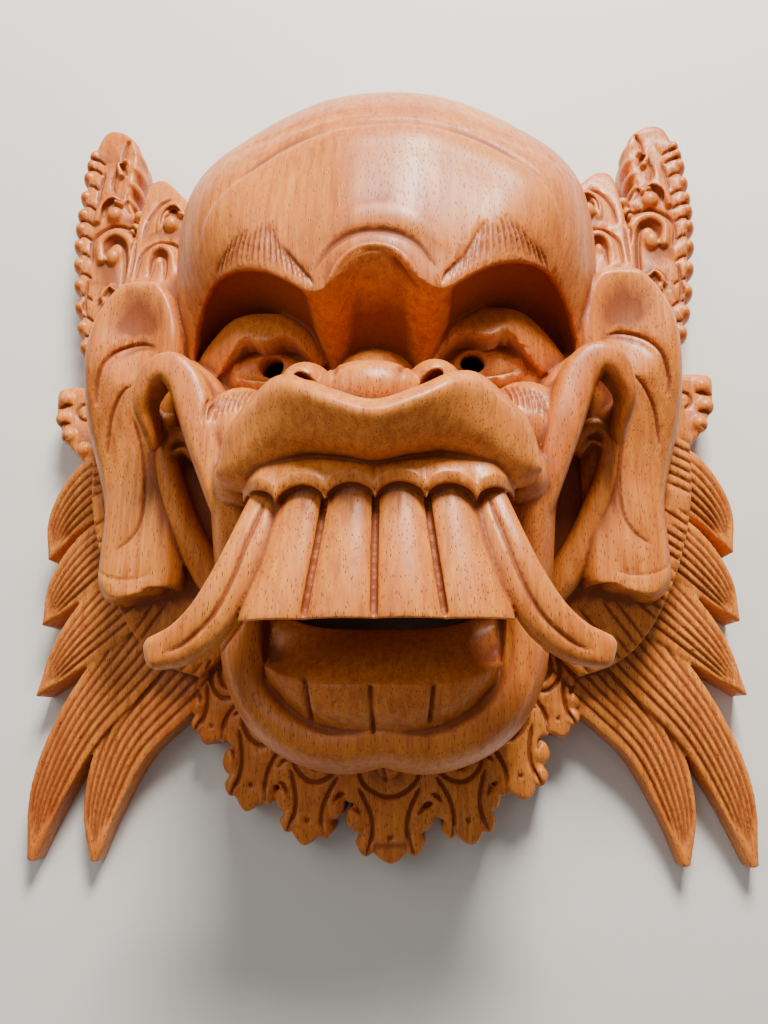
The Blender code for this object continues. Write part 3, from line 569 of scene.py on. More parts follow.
def mouth_slit():
    """Cutter for the slit that runs from the mouth through to the hollow."""
    rings = []
    angle = np.linspace(0, 2 * math.pi, 80, endpoint=False)
    x = squared(np.cos(angle), 0.6) * MOUTH_SLIT_HALF_LENGTH
    y = MOUTH_SLIT_PLACE + squared(np.sin(angle), 0.8) * MOUTH_SLIT_WIDTH / 2
    for height in (HOLLOW_DEPTH * 0.3, LOWER_TEETH_HEIGHT - 5):
        rings.append(np.column_stack([x, y, np.full(80, height)]))
    return loft(rings)


def mouth_floor():
    """Hollow floor of the mouth, rising gently from the slit towards the lips and the lower teeth."""
    x = np.linspace(-41, 41, 80)[None, :] * np.ones((40, 1))
    y = np.linspace(-38, 0, 40)[:, None] * np.ones((1, 80))
    steep = np.abs(x / 41) ** 3 * 8 + np.abs((y - MOUTH_SLIT_PLACE) / 21) ** 2 * 6
    return block(np.dstack([x, y, 48 + steep]), 30)


def cheek():
    """Round cheek beside the nose."""
    return ellipsoid((45, 35, 57), (15, 17, 15))


def mouth_corner():
    """Plain wood between the ends of the lip, the gum and the lower lip."""
    return ellipsoid((42, 17, 65), (9, 10, 14))


def ear_base():
    """Solid wood between the face, the ear and the feathers."""
    spine = [(76, 96), (80, 60), (80, 20), (70, -14), (56, -30)]
    return block(leaf(spine, [16, 22, 23, 20, 12], [38, 37, 33, 27, 22], 8 * FINE, 4 * FINE, 2))


def ear_flap():
    """Long outer ear, a soft round hood at the top and a lobe at the bottom."""
    top = EAR_BOTTOM + EAR_LENGTH - 3.5
    low = EAR_BOTTOM
    spine = [(80.6, top), (80.7, top - 0.8), (81, top - 3), (81.5, top - 6.5), (82.2, top - 12), (83, 75.5),
             (83.5, 62), (84.5, 48), (83, 33), (81.5, 18), (81, 4), (81, low + 6), (81, low + 2), (80.5, low)]
    widths = [1, 5, 8.5, 11.3, 14, 16.4, 17.3, 16.3, 15, 13.5, 14, 14, 12, 6]
    grid = leaf(spine, widths, [0, 0], 24 * FINE, 10 * FINE)
    across = np.linspace(-1, 1, grid.shape[1])[None, :]
    side_gap = (1 - np.abs(across)) * through(widths, len(grid))[:, None]
    x, y = grid[:, :, 0], grid[:, :, 1]
    gap = np.minimum(side_gap, top - y - 0.02 * (x - 82) ** 2)
    raised = eased(np.clip((y - 20) / 55, 0, 1))
    away = np.clip(((x - 82.5) / 14) ** 2 + ((y - 74) / 20) ** 2, 0, 1)
    edge = np.clip(gap / 4, 0, 1)
    rim = EAR_LOBE_HEIGHT + (EAR_RIM_HEIGHT - EAR_LOBE_HEIGHT) * raised
    grid[:, :, 2] = rim - 4.5 * (1 - away) ** 1.6 + 3 * (1 - raised) * (1 - across ** 2) - 3.5 * (1 - edge) ** 2
    grid[:, :, 0] *= EAR_REACH / np.abs(grid[:, :, 0]).max()
    return block(grid)


def ear_hook():
    """Inner ear: a broad band that loops over and runs down beside the cheek."""
    top = EAR_HOOK_HEIGHT
    path = through([(75.5, 37, top - 22), (76, 46, top - 13), (72.5, 53.5, top - 9), (66.6, 55.5, top - 8),
                    (61.5, 50.5, top - 8), (58, 42, top - 8.5), (55, 33, top - 9), (51, 20, top - 11),
                    (48, 10, top - 13), (43, -4, top - 18)], 18 * FINE)
    widths = EAR_HOOK_WIDTH / 2 * through([0.3, 0.35, 0.62, 0.82, 0.92, 0.94, 0.9, 0.75, 0.6, 0.4], 18 * FINE)
    heights = through([8, 8, 7, 7, 7, 8, 9, 10, 10, 9], 18 * FINE)
    return tube(path, widths, heights, 32, 0.6)


def ear_folds():
    """Second fold inside the ear, the wood beside the cheek that carries the hook, and what lies under it."""
    count = 14 * FINE
    fold = through([(63, 36, 40), (67, 40.5, 42), (71, 41, 42), (74, 37.5, 41), (74, 30, 40), (71, 18, 37.5),
                    (66, 6, 35), (59, -6, 32), (52, -14, 29)], count)
    fold_widths = through([3, 3.2, 3.6, 3.8, 4, 4.6, 5, 5.5, 5], count)
    rim = through([(72, 22, 38), (72, 33, 41), (68.5, 36.3, 42), (65, 33.5, 41)], count)
    wall = through([(65, 59, 48), (58, 52, 50), (53, 40, 52), (48, 22, 52), (44, 4, 50), (41, -10, 46)], count)
    forms = [tube(fold, fold_widths, [7.0] * count, 28, 0.8), tube(rim, [1.3] * count, [5.0] * count),
             tube(wall, [6.0] * count, [12.0] * count, 28, 0.8)]
    for centre, radii in (((76, 45, 38), (9, 9, 13)), ((65, 60, 37), (12, 11, 14))):
        forms.append(ellipsoid(centre, radii))
    return forms


def plate(outline, height, bevel=1.5):
    """Closed upright form over a closed outline, its top edge rounded, level or with a height at each point."""
    outline = np.array(outline, float)
    along = np.roll(outline, -1, axis=0) - np.roll(outline, 1, axis=0)
    along /= np.maximum(np.linalg.norm(along, axis=1), 1e-9)[:, None]
    x, y = outline.T
    turn = math.copysign(1, (x * np.roll(y, -1) - np.roll(x, -1) * y).sum())
    inward = np.column_stack([-along[:, 1], along[:, 0]]) * turn
    height = np.zeros(len(outline)) + height
    rings = [np.column_stack([outline, 0 * height])]
    for angle in (0, 30, 60, 90):
        share = 1 - math.cos(math.radians(angle))
        drop = bevel * (1 - math.sin(math.radians(angle)))
        rings.append(np.column_stack([outline + inward * bevel * share, height - drop]))
    count = len(outline)
    faces = []
    for r in range(len(rings) - 1):
        for k in range(count):
            n = (k + 1) % count
            faces.append([r * count + k, r * count + n, (r + 1) * count + n, (r + 1) * count + k])
    faces.append(list(range(count))[::-1])
    faces.append([(len(rings) - 1) * count + k for k in range(count)])
    return np.vstack(rings), faces


def stretched(points, side):
    """Places on a crest: its upper part is longer on the left mask half than on the right."""
    points = np.array(points, float)
    tip = CREST_TIP - side * CREST_TIP_LEAN
    upper = np.maximum(points[..., 1] - CREST_STRETCH_FROM, 0)
    points[..., 1] += upper * (tip - CREST_DRAWN_TIP) / (CREST_DRAWN_TIP - CREST_STRETCH_FROM)
    points[..., 0] *= CREST_REACH / CREST_DRAWN_REACH
    return points


def crests(side):
    """Two upright leaves above the ear with beads, bosses and volutes on them."""
    low, high = CREST_THICKNESS, CREST_INNER_THICKNESS
    outer = ring_through([(111, 187), (117, 185.5), (120.5, 175), (122, 162), (122.5, 144), (121.5, 127),
                          (119, 108), (113, 84), (98, 80), (88, 92), (90, 120), (95, 141), (101, 149),
                          (103.4, 155), (102.4, 164), (101.2, 174), (104, 182.5)], 3 * FINE)
    inner = ring_through([(94.5, 154), (92.5, 159.5), (87.5, 160.5), (81.5, 155), (76, 148.5), (73, 140),
                          (71.5, 126), (70, 108), (67, 86), (82, 82), (95, 92), (97, 120), (95.5, 143)], 3 * FINE)
    slope = high + (135 - inner[:, 1]) * 0.16
    forms = [plate(stretched(outer, side), low), plate(stretched(inner, side), slope)]
    bumps = [(x, y, low - 5, 3.1, 3.6, 6) for x, y in through(CREST_EDGE, CREST_BEADS)]
    bumps += [(72.5 - 0.6 * k, 140 - 9 * k, high - 2 + 1.4 * k, 4.4, 4.4, 6) for k in range(5)]
    bumps += [(108.5, 148, low, 3.2, 3.6, 3.0), (107.4, 129, low, 3.0, 4.0, 2.6),
              (81.5, 137.5, high, 3.0, 3.6, 3.0), (84.5, 119, high + 1, 2.2, 3.4, 2.6),
              (107, 108, low, 3.0, 3.0, 2.4), (97.5, 146.5, low, 2.6, 2.6, 3), (99, 141, low, 2.4, 2.8, 3)]
    inside_edge = [(104.3, 155), (103.2, 162), (102.4, 169), (103, 176), (106, 182)]
    bumps += [(x, y, low - 7, 2.6, 3.0, 7.6) for x, y in inside_edge]
    for x, y, z, *radii in bumps:
        spot = stretched((x, y), side)
        forms.append(ellipsoid((spot[0], spot[1], z), radii))
    scrolls = [([(115.5, 145), (114.5, 151), (110.5, 155), (105.5, 152.5)], 1.5, low),
               ([(112, 127), (113, 135.5), (107.7, 139.7), (101.4, 136.6), (99, 128), (98.3, 112)], 2, low),
               ([(111, 110), (107.5, 115.6), (103.5, 112.5)], 1.3, low),
               ([(86, 134), (85.5, 142), (81, 146.3), (77.5, 142)], 1.4, high - 1),
               ([(89.5, 112), (88.5, 122), (84.2, 125.8), (79.7, 122.5), (78, 110)], 1.7, high + 1.5),
               ([(107, 165), (108.6, 169.5), (106, 172)], 1.3, low)]
    for line, half, z in scrolls:
        spots = through(stretched(line, side), 10 * FINE)
        path = np.column_stack([spots, np.full(len(spots), z)])
        forms.append(tube(path, [half] * len(path), [2.2] * len(path)))
    return forms


def side_ornament():
    """Small scalloped leaf that stands out behind the ear."""
    reach = ORNAMENT_REACH
    outline = [(96, 72), (112, 74), (reach - 1, 73.5), (reach, 66), (reach - 1, 60), (reach - 2.5, 57),
               (reach - 5, 52), (reach - 10, 46), (108, 40), (94, 36)]
    forms = [plate(ring_through(outline, 3 * FINE), ORNAMENT_THICKNESS)]
    for inward, y, size in ((4, 69, 3.6), (3.5, 61, 3.4), (6.5, 54, 3.4), (13, 48, 3.4)):
        forms.append(ellipsoid((reach - inward, y, 13.5), (size, size, 3.6)))
    return forms


def feather_lines():
    """Middle line, half widths and heights of each of the five feathers, each one lying over the next."""
    tip = FEATHER_TIP_THICKNESS
    reach = FEATHER_REACH
    low = -FEATHER_TIP
    roots = FEATHER_ROOT_THICKNESS - FEATHER_STEP * np.arange(5)
    return [([(92, 36), (106, 30), (118, 19), (reach, 5)], [12, 11, 7, 0.6],
             [roots[0], roots[0] - 1, 18, 14]),
            ([(90, 14), (104, 5), (116, -7), (reach, -19)], [11, 10, 7, 0.6],
             [roots[1], roots[1] - 1, 17, 13]),
            ([(84, -2), (98, -15), (112, -29), (reach, -44)], [12, 11, 7.5, 0.6],
             [roots[2], roots[2] - 1, 15.5, 11.5]),
            ([(70, -6), (88, -30), (106, -53), (117, -76), (reach - 2, low)], [13, 12, 9, 6.5, 1.6],
             [roots[3], roots[3] - 1, 14, 10.5, tip]),
            ([(58, -22), (74, -40), (90, -59), (98, -80), (100, low)], [13, 12, 9.5, 6.5, 1.5],
             [roots[4], roots[4] - 1, 12.5, 9.5, tip])]


def feathers():
    """Five long feathers behind the ear, each one over the next."""
    return [block(leaf(*lines, 12 * FINE, 4 * FINE, 1.2)) for lines in feather_lines()]


def beard_leaves():
    """Base, tip and half width of each of the seven scroll leaves around the chin."""
    reach = BEARD_REACH
    return [((0, -60), (0.5, -reach), 14.5), ((22, -56), (27.5, -reach + 6), 11.5),
            ((-23, -56), (-28.5, -reach + 5.5), 11.5), ((37, -43), (46, -reach + 20), 11.5),
            ((-40, -43), (-48.5, -reach + 16), 11.5),
            ((50, -30), (59.5, -reach + 40), 9.5), ((-53, -32), (-63.5, -reach + 37.5), 9.5)]


def in_leaf(base, tip, half, points):
    """Places given across and along a leaf, in the carving's own millimetres."""
    base, tip = np.array(base, float), np.array(tip, float)
    along = tip - base
    side = np.array([along[1], -along[0]]) / np.linalg.norm(along)
    points = np.array(points, float)
    return base + points[..., 1:2] * along + points[..., 0:1] * side * half


def beard():
    """Seven scroll leaves around the chin, each with two pairs of side lobes and a blunt tip."""
    right = [(0, 1.0), (0.2, 0.97), (0.42, 0.9), (0.7, 0.88), (0.8, 0.81), (0.66, 0.745), (0.84, 0.73),
             (1.0, 0.66), (0.98, 0.56), (0.8, 0.505), (0.98, 0.48), (1.12, 0.38), (1.1, 0.22), (0.95, 0.08),
             (0.95, -0.1)]
    outline = ring_through(right + [(-x, y) for x, y in right[:0:-1]], 2 * FINE)
    lobes = [(side * across, down) for across, down in ((0.82, 0.31), (0.72, 0.62), (0.55, 0.82))
             for side in (1, -1)]
    arc = sorted(tuple(in_leaf(base, tip, half, (0, 0.5))) for base, tip, half in beard_leaves())
    forms = [plate(arc + [(57, -16), (-57, -16)], BEARD_THICKNESS)]
    for base, tip, half in beard_leaves():
        spots = in_leaf(base, tip, half, outline)
        forms.append(plate(spots, BEARD_THICKNESS + 4 * (1 - outline[:, 1])))
        bead = in_leaf(base, tip, half, (0, 0.16))
        forms.append(ellipsoid((bead[0], bead[1], BEARD_THICKNESS + 3.5), (half * 0.3, half * 0.33, 4)))
        for across, down in lobes:
            spot = in_leaf(base, tip, half, (across, down))
            height = BEARD_THICKNESS + 1.6 - 2 * down
            forms.append(ellipsoid((spot[0], spot[1], height), (half * 0.2, half * 0.3, 2.0)))
    return forms


def hollow():
    """Cutter for the hollow behind the face."""
    middle = (HOLLOW_TOP + HOLLOW_BOTTOM) / 2
    half_length = (HOLLOW_TOP - HOLLOW_BOTTOM) / 2
    angle = np.linspace(0, 2 * math.pi, 96, endpoint=False)
    across = squared(np.cos(angle), 0.8)
    along = squared(np.sin(angle), 0.8)
    rings = []
    for share in through([-0.3, 0.0, 0.45, 0.72, 0.9, 0.985], 24):
        size = (1 - max(share, 0) ** 3) ** (1 / 3)
        y = middle + along * size * half_length
        behind_brow = np.clip((y - 80) / 30, 0, 1)
        depth = HOLLOW_DEPTH + (HOLLOW_FOREHEAD_DEPTH - HOLLOW_DEPTH) * behind_brow
        rings.append(np.column_stack([across * size * HOLLOW_HALF_WIDTH, y, share * depth]))
    return loft(rings)


def mirrored(form, side):
    """The same form on the left or the right."""
    points, faces = form
    return np.array(points) * np.array([side, 1, 1]), faces


def both(make, lean=0.0):
    """The same forms on both sides, moved together across the face by a small lean."""
    forms = []
    for side in (-1, 1):
        made = make(side) if make is crests else make()
        if isinstance(made, tuple):
            made = [made]
        for form in made:
            points, faces = mirrored(form, side)
            forms.append((points + (lean, 0, 0), faces))
    return forms


def solid_forms():
    """Every form of the carving."""
    forms = [skull(), face(), upper_lip(), gum(), lower_lip(), lower_teeth(), mouth_floor()]
    forms += bridge() + nose() + beard()
    forms += [tooth(k) for k in range(TOOTH_COUNT)]
    for make in (cheek, mouth_corner, tusk, ear_base, ear_hook, ear_folds):
        forms += both(make)
    for make in (eye_mound, eyeball, upper_lid, ear_flap, feathers):
        forms += both(make, FACE_LEAN)
    for make in (crests, side_ornament):
        forms += both(make, CREST_LEAN)
    return forms


def mesh_of(name, forms):
    """One mesh from closed forms, all facing outward."""
    shape = bmesh.new()
    for points, faces in forms:
        piece = bmesh.new()
        corners = [piece.verts.new(p) for p in np.array(points)]
        for face in faces:
            piece.faces.new([corners[k] for k in face])
        bmesh.ops.remove_doubles(piece, verts=piece.verts, dist=1e-4)
        bmesh.ops.recalc_face_normals(piece, faces=piece.faces)
        part = bpy.data.meshes.new(name + "_part")
        piece.to_mesh(part)
        piece.free()
        shape.from_mesh(part)
        bpy.data.meshes.remove(part)
    mesh = bpy.data.meshes.new(name)
    shape.to_mesh(mesh)
    shape.free()
    return mesh


def placed(name, data):
    """A new object in the scene."""
    made = bpy.data.objects.new(name, data)
    bpy.context.scene.collection.objects.link(made)
    return made


def changed(mesh, kind, **values):
    """The mesh after one modifier."""
    holder = placed("holder", mesh)
    change = holder.modifiers.new(kind.lower(), kind)
    for name, value in values.items():
        setattr(change, name, value)
    seen = holder.evaluated_get(bpy.context.evaluated_depsgraph_get())
    made = bpy.data.meshes.new_from_object(seen)
    bpy.data.objects.remove(holder)
    return made


def cut(mesh, name, forms):
    """The mesh with closed forms taken out of it."""
    tool = placed(name, mesh_of(name, forms))
    made = changed(mesh, "BOOLEAN", operation="DIFFERENCE", solver="MANIFOLD", object=tool)
    bpy.data.objects.remove(tool)
    return made


def corners_of(mesh):
    """The mesh's points as an array."""
    spots = np.empty(len(mesh.vertices) * 3)
    mesh.vertices.foreach_get("co", spots)
    return spots.reshape(-1, 3)


def carving():
    """The whole mask as one mesh, in millimetres from the carving's own point."""
    forms = [(np.array(points), faces) for points, faces in solid_forms()]
    for points, _ in forms:
        points[:, 2] = np.maximum(points[:, 2], 0)
    mesh = changed(mesh_of("carving", forms), "REMESH", mode="VOXEL", voxel_size=VOXEL)
    mesh = cut(mesh, "hollow", [hollow()])
    mesh = cut(mesh, "mouth_slit", [mouth_slit()])
    mesh = cut(mesh, "eye_openings", both(eye_opening, FACE_LEAN))
    mesh = cut(mesh, "pupils", [pupil_drill(-1), pupil_drill(1)])
    mesh = cut(mesh, "nostrils", [nostril(-1), nostril(1)])
    return mesh


def stroke(maps, line, half, depth, raised=False, low=False, taper=2.5):
    """Adds one stroke of a gouge to the maps of small carving, thinner at both ends."""
    line = np.array(line, float)
    place = np.concatenate([[0], np.cumsum(np.linalg.norm(np.diff(line, axis=0), axis=1))])
    along = np.linspace(0, place[-1], max(int(place[-1] / MAP_CELL), 2))
    spots = np.column_stack([np.interp(along, place, line[:, 0]), np.interp(along, place, line[:, 1])])
    ease = np.sqrt(np.clip(np.minimum(along, place[-1] - along) / taper, 0.05, 1))
    cells = (spots - MAP_CORNER) / MAP_CELL
    nearest = np.round(cells).astype(int)
    reach = int(half / MAP_CELL) + 1
    layer = maps[int(low), int(raised)]
    for i in range(-reach, reach + 1):
        for j in range(-reach, reach + 1):
            away = np.linalg.norm((nearest + (i, j) - cells) * MAP_CELL, axis=1) / (half * ease)
            value = depth * ease * np.maximum(1 - away ** 2, 0)
            np.maximum.at(layer, (nearest[:, 0] + i, nearest[:, 1] + j), value)


def on_side(line, side, lean=0.0):
    """A line drawn for the right half, on the given side."""
    return np.array(line, float) * (side, 1) + (lean, 0)


def brow_carving(maps):
    """Hair strokes over the brows, and the arch with its groove between them."""
    count = 19
    for side in (-1, 1):
        roots = through([(19, 71.5), (25, 76), (31.5, 80.5), (39, 83.6), (46, 84.6), (53, 83)], count)
        lengths = through([8, 12, 14, 13, 11, 8], count)
        leans = np.radians(through([24, 14, 4, -6, -14, -20], count))
        for k, ((x, y), length, lean) in enumerate(zip(roots, lengths, leans)):
            ahead = np.linspace(0, 1, 8)
            bend = lean * (0.4 + 0.9 * ahead)
            length *= 0.82 + 0.3 * abs(math.sin(2.7 * k + side))
            line = np.column_stack([x + length * ahead * np.sin(bend), y + length * ahead * np.cos(bend)])
            stroke(maps, on_side(line, side), 0.5 + 0.12 * math.sin(1.9 * k), 0.95, taper=4)
    arch = through([(-15.5, 71), (-9, 80), (-1, 83.2), (7, 80), (13.5, 71)], 40)
    stroke(maps, arch, 1.5, 1.3, True, taper=8)
    around = through([(-20, 76), (-12.5, 85), (-1, 88.5), (10.5, 85), (18, 76)], 40)
    stroke(maps, around, 1.6, 0.9, taper=10)
    beyond = through([(-24, 83), (-14, 91.5), (-1, 94.5), (12, 91.5), (22, 83)], 40)
    stroke(maps, beyond, 5, 0.7, True, taper=14)


def forehead_carving(maps):
    """Double crease across the forehead."""
    upper = through([(-70, 124), (-54, 133), (-28, 138.5), (-1, 139.5), (25, 138), (50, 131), (66, 120)], 60)
    lower = through([(-59, 97), (-56, 107), (-46, 118), (-27, 130), (0, 134.5), (28, 131.5), (47, 120),
                     (56, 108), (58, 98)], 60)
    stroke(maps, upper, 3.5, 0.4, taper=40)
    stroke(maps, lower, 3.5, 0.7, taper=60)
    stroke(maps, lower - (0, 7), 6, 0.4, True, taper=40)


def face_carving(maps):
    """Creases of the nose, strokes under the eyes, gaps of the teeth and grooves of the tusks."""
    for side in (-1, 1):
        crease = through([(10.8, 46), (9.2, 41.5), (9.6, 37)], 12)
        stroke(maps, on_side(crease, side, FACE_LEAN), 1.3, 1.0, taper=4)
        for k in range(10):
            x, y = 35 + 1.7 * k, 50 - 0.06 * k ** 2
            hair = [(x, y), (x + 1.3, y - 6), (x + 1.6, y - 11)]
            stroke(maps, on_side(hair, side, FACE_LEAN), 0.6, 1.1, taper=3)
        groove = through([(30, 7), (34, -6), (37.5, -17), (42.5, -26.5), (50, -33.2), (56, -35.5)], 40)
        stroke(maps, on_side(groove, side), 0.8, 0.9, taper=8)
    for edge in np.linspace(-1, 1, TOOTH_COUNT + 1)[1:-1]:
        share = np.linspace(0.08, 0.97, 30)
        span = TEETH_HALF_SPAN_TOP + (TEETH_HALF_SPAN_TIP - TEETH_HALF_SPAN_TOP) * share ** 1.2
        stroke(maps, np.column_stack([span * edge, 10 - TEETH_LENGTH * share]), 0.9, 1.4, taper=1)
    for gap in ([(-20.9, -40.8), (-19.7, -53)], [(-2.4, -42.6), (-2.1, -56)], [(15.3, -41.8), (13.8, -53.2)]):
        stroke(maps, gap, 0.8, 1.6, taper=1)


def ear_carving(maps):
    """Stepped arcs in the hood of the ear and the long line down its lobe."""
    arcs = [([(95.5, 50), (95, 57), (92.3, 64.5), (87.6, 70), (81.5, 72.3), (75.5, 70.5)], 0.8, 1.3),
            ([(92.5, 34), (91, 44), (88.5, 50.5), (85, 55.5), (81, 57)], 0.7, 1.0),
            ([(83, 47), (80.3, 36), (78.8, 22), (79.5, 12), (82.5, 6), (88, 1.5)], 0.7, 0.9),
            ([(94.5, -3), (90, -6.5), (82, -8), (74, -6)], 0.6, 0.5)]
    for line, half, depth in arcs:
        curve = through(line, 40)
        for side in (-1, 1):
            stroke(maps, on_side(curve, side, FACE_LEAN), half, depth, taper=6)
            stroke(maps, on_side(curve * (0.985, 1) - (0, 1.4), side, FACE_LEAN), 2.2, depth * 0.4, taper=6)


def on_leaf(spots, spine, widths):
    """Which places lie on a leaf given by its middle line and half widths."""
    middle = through(spine, 120)
    width = through(widths, 120)
    away = np.linalg.norm(spots[:, None, :] - middle[None, :, :], axis=2)
    nearest = away.argmin(axis=1)
    return away[np.arange(len(spots)), nearest] < width[nearest]


def feather_carving(maps):
    """Long grooves down every feather, left out where another feather lies over it."""
    lines = feather_lines()
    count = 80
    for k, (spine, widths, heights) in enumerate(lines):
        middle = through(spine, count)
        width = through(widths, count)
        along = np.gradient(middle, axis=0)
        along /= np.linalg.norm(along, axis=1)[:, None]
        side_way = np.column_stack([along[:, 1], -along[:, 0]])
        for share in (-0.7, -0.43, -0.15, 0.13, 0.41, 0.7):
            first = int(count * (0.1 + 0.06 * math.cos(9 * share + k)))
            last = int(count * (0.98 - 0.14 * abs(share)))
            line = (middle + side_way * (width * share)[:, None])[first:last]
            hidden = np.zeros(len(line), bool)
            for over_spine, over_widths, _ in lines[:k]:
                hidden |= on_leaf(line, over_spine, over_widths)
            shown = line[~hidden]
            if len(shown) > 4:
                for side in (-1, 1):
                    stroke(maps, on_side(shown, side, FACE_LEAN), 0.7, 0.8, low=True, taper=5)


def scroll_line(centre, radius, turns, start):
    """Spiral from the outside in, its angles in turns."""
    share = np.linspace(0, 1, 40)
    angle = (start + turns * share) * 2 * math.pi
    size = radius * (1 - 0.72 * share)
    return np.column_stack([centre[0] + size * np.cos(angle), centre[1] + size * np.sin(angle)])


def crest_carving(maps):
    """Crescents over the bosses, grooves beside the scrolls, cuts between the beads, and small dots."""
    lines = [[(113.5, 146.5), (112.3, 152), (108.4, 154.4), (104, 152)],
             [(116, 126), (116.8, 137), (108.5, 143.4), (98.4, 139.5), (95.4, 128), (95, 112)],
             [(109.2, 127), (109.8, 133.2), (107.2, 136.1), (104, 134.2), (102.6, 127), (102, 113)],
             [(112, 107), (111, 113), (107, 116), (102.8, 113)], [(109.5, 104), (107, 111), (104.6, 108)],
             [(104.5, 183), (107, 178), (107.6, 171), (105, 165.5)], [(109.5, 169), (111, 162), (109, 157.5)],
             [(114.5, 168), (116, 160), (116.5, 153)], [(101, 148), (103.5, 151), (104.5, 158)],
             [(86.4, 136.5), (85.2, 142.3), (81.6, 144.6), (77.4, 142.4)],
             [(92.6, 111), (91.6, 123.5), (84.6, 129), (77.2, 125.5), (75.4, 112)],
             [(87, 111), (86.3, 119.8), (84.2, 122.4), (82, 120.4), (81, 110)],
             [(83, 151), (87.5, 148), (91, 141), (92.5, 131)], [(116, 101), (117.3, 109), (117, 119)],
             [(97, 124), (99.5, 131), (98.6, 135)], [(108, 93), (106, 98), (101, 100)]]

    def groove(line, half, depth, taper=2.5):
        """A stroke in the low carving of one side."""
        stroke(maps, on_side(line, side, CREST_LEAN), half, depth, low=True, taper=taper)

    reach = ORNAMENT_REACH
    for side in (-1, 1):
        for line in lines:
            groove(stretched(through(line, 30), side), 0.95, 1.35, 4)
        for x, y in through(CREST_EDGE, 2 * CREST_BEADS - 1)[1::2]:
            groove(stretched([(x + 1, y + 0.5), (x - 3, y - 0.6), (x - 6, y - 3)], side), 0.7, 1.2, 1.5)
        for x, y in ((111, 180), (108.6, 167), (88, 155), (106.3, 131.5)):
            groove(stretched([(x - 0.3, y), (x + 0.3, y)], side), 1.2, 1.0, 0.1)
        groove(scroll_line((reach - 12, 64), 4.6, 1.3, 0.5), 0.75, 1.1)
        for y in (65, 57.5, 51):
            groove([(reach + 1, y), (reach - 7, y + 1.5)], 0.7, 1.2)
        groove([(reach - 9, 71.2), (reach - 9, 71.8)], 1.0, 1.4, 0.1)


def beard_carving(maps):
    """Collars, lobes and dots on the scroll leaves of the beard, and a comma on the middle one."""
    collar = [(-0.75, 0.08), (-0.6, 0.33), (0, 0.45), (0.6, 0.33), (0.75, 0.08)]
    stem = [(0.56, 0.95), (0.4, 0.76), (0.44, 0.58), (0.72, 0.36)]
    notch = [(1.0, 0.5), (0.8, 0.53), (0.62, 0.6)]
    ring = [(0.4, -0.02), (0.42, 0.2), (0, 0.33), (-0.42, 0.2), (-0.4, -0.02)]
    comma = [(-0.1, 0.12), (0.12, 0.18), (0.05, 0.33)]
    dot = [(-0.07, 0.75), (0, 0.79), (0.07, 0.75)]
    for number, (base, tip, half) in enumerate(beard_leaves()):
        lines = [(collar, 0.9, 1.4), (dot, 0.9, 1.3), (comma if number == 0 else ring, 0.8, 1.2)]
        for side in (-1, 1):
            lines += [(np.array(stem) * (side, 1), 0.85, 1.4), (np.array(notch) * (side, 1), 0.8, 1.3)]
        for line, width, depth in lines:
            stroke(maps, in_leaf(base, tip, half, through(line, 24)), width, depth, low=True)


def relief_maps():
    """Maps of the small carving: what is cut away and what is raised, in high and in low carving."""
    maps = np.zeros((2, 2, int(MAP_SIZE[0] / MAP_CELL), int(MAP_SIZE[1] / MAP_CELL)))
    for carve in (brow_carving, forehead_carving, face_carving, ear_carving, feather_carving,
                  crest_carving, beard_carving):
        carve(maps)
    return maps


def read_map(flat_map, spots):
    """Heights of a map at places of the carving."""
    cells = (spots[:, :2] - MAP_CORNER) / MAP_CELL
    first = np.clip(cells.astype(int), 0, np.array(flat_map.shape) - 2)
    share = np.clip(cells - first, 0, 1)
    x, y = first.T
    near = flat_map[x, y] * (1 - share[:, 0]) + flat_map[x + 1, y] * share[:, 0]
    far = flat_map[x, y + 1] * (1 - share[:, 0]) + flat_map[x + 1, y + 1] * share[:, 0]
    return near * (1 - share[:, 1]) + far * share[:, 1]


def facing_of(mesh):
    """Normals of the mesh, and how far each point faces out of the face."""
    normals = np.empty(len(mesh.vertices) * 3)
    mesh.vertex_normals.foreach_get("vector", normals)
    normals = normals.reshape(-1, 3)
    return normals, eased(np.clip((normals[:, 2] - 0.1) / 0.35, 0, 1))


def relief_at(maps, spots, raised):
    """Small carving at places of the mask, from the low map for low places."""
    high = read_map(maps[0, raised], spots)
    low = read_map(maps[1, raised], spots)
    x, y, z = spots.T
    in_mouth = (np.abs(x) < MOUTH_INSIDE_HALF_WIDTH) & (z < MOUTH_INSIDE_HEIGHT)
    in_mouth &= (y > MOUTH_INSIDE_BOTTOM) & (y < MOUTH_INSIDE_TOP)
    return np.where(z < LOW_CARVING, low, np.where(in_mouth, 0, high))


def carve_small(mesh, maps):
    """Moves the surface by the maps of small carving."""
    spots = corners_of(mesh)
    normals, facing = facing_of(mesh)
    rise = (relief_at(maps, spots, 1) - relief_at(maps, spots, 0)) * facing
    spots += normals * rise[:, None]
    mesh.vertices.foreach_set("co", spots.ravel())


def smoothed(values, edges, times):
    """Values at points, evened out along the edges."""
    count = len(values)
    ends = np.concatenate([edges[:, 0], edges[:, 1]])
    others = np.concatenate([edges[:, 1], edges[:, 0]])
    near = np.maximum(np.bincount(ends, minlength=count), 1)[:, None]
    for _ in range(times):
        total = np.column_stack([np.bincount(ends, values[others, k], count) for k in range(values.shape[1])])
        values = 0.4 * values + 0.6 * total / near
    return values


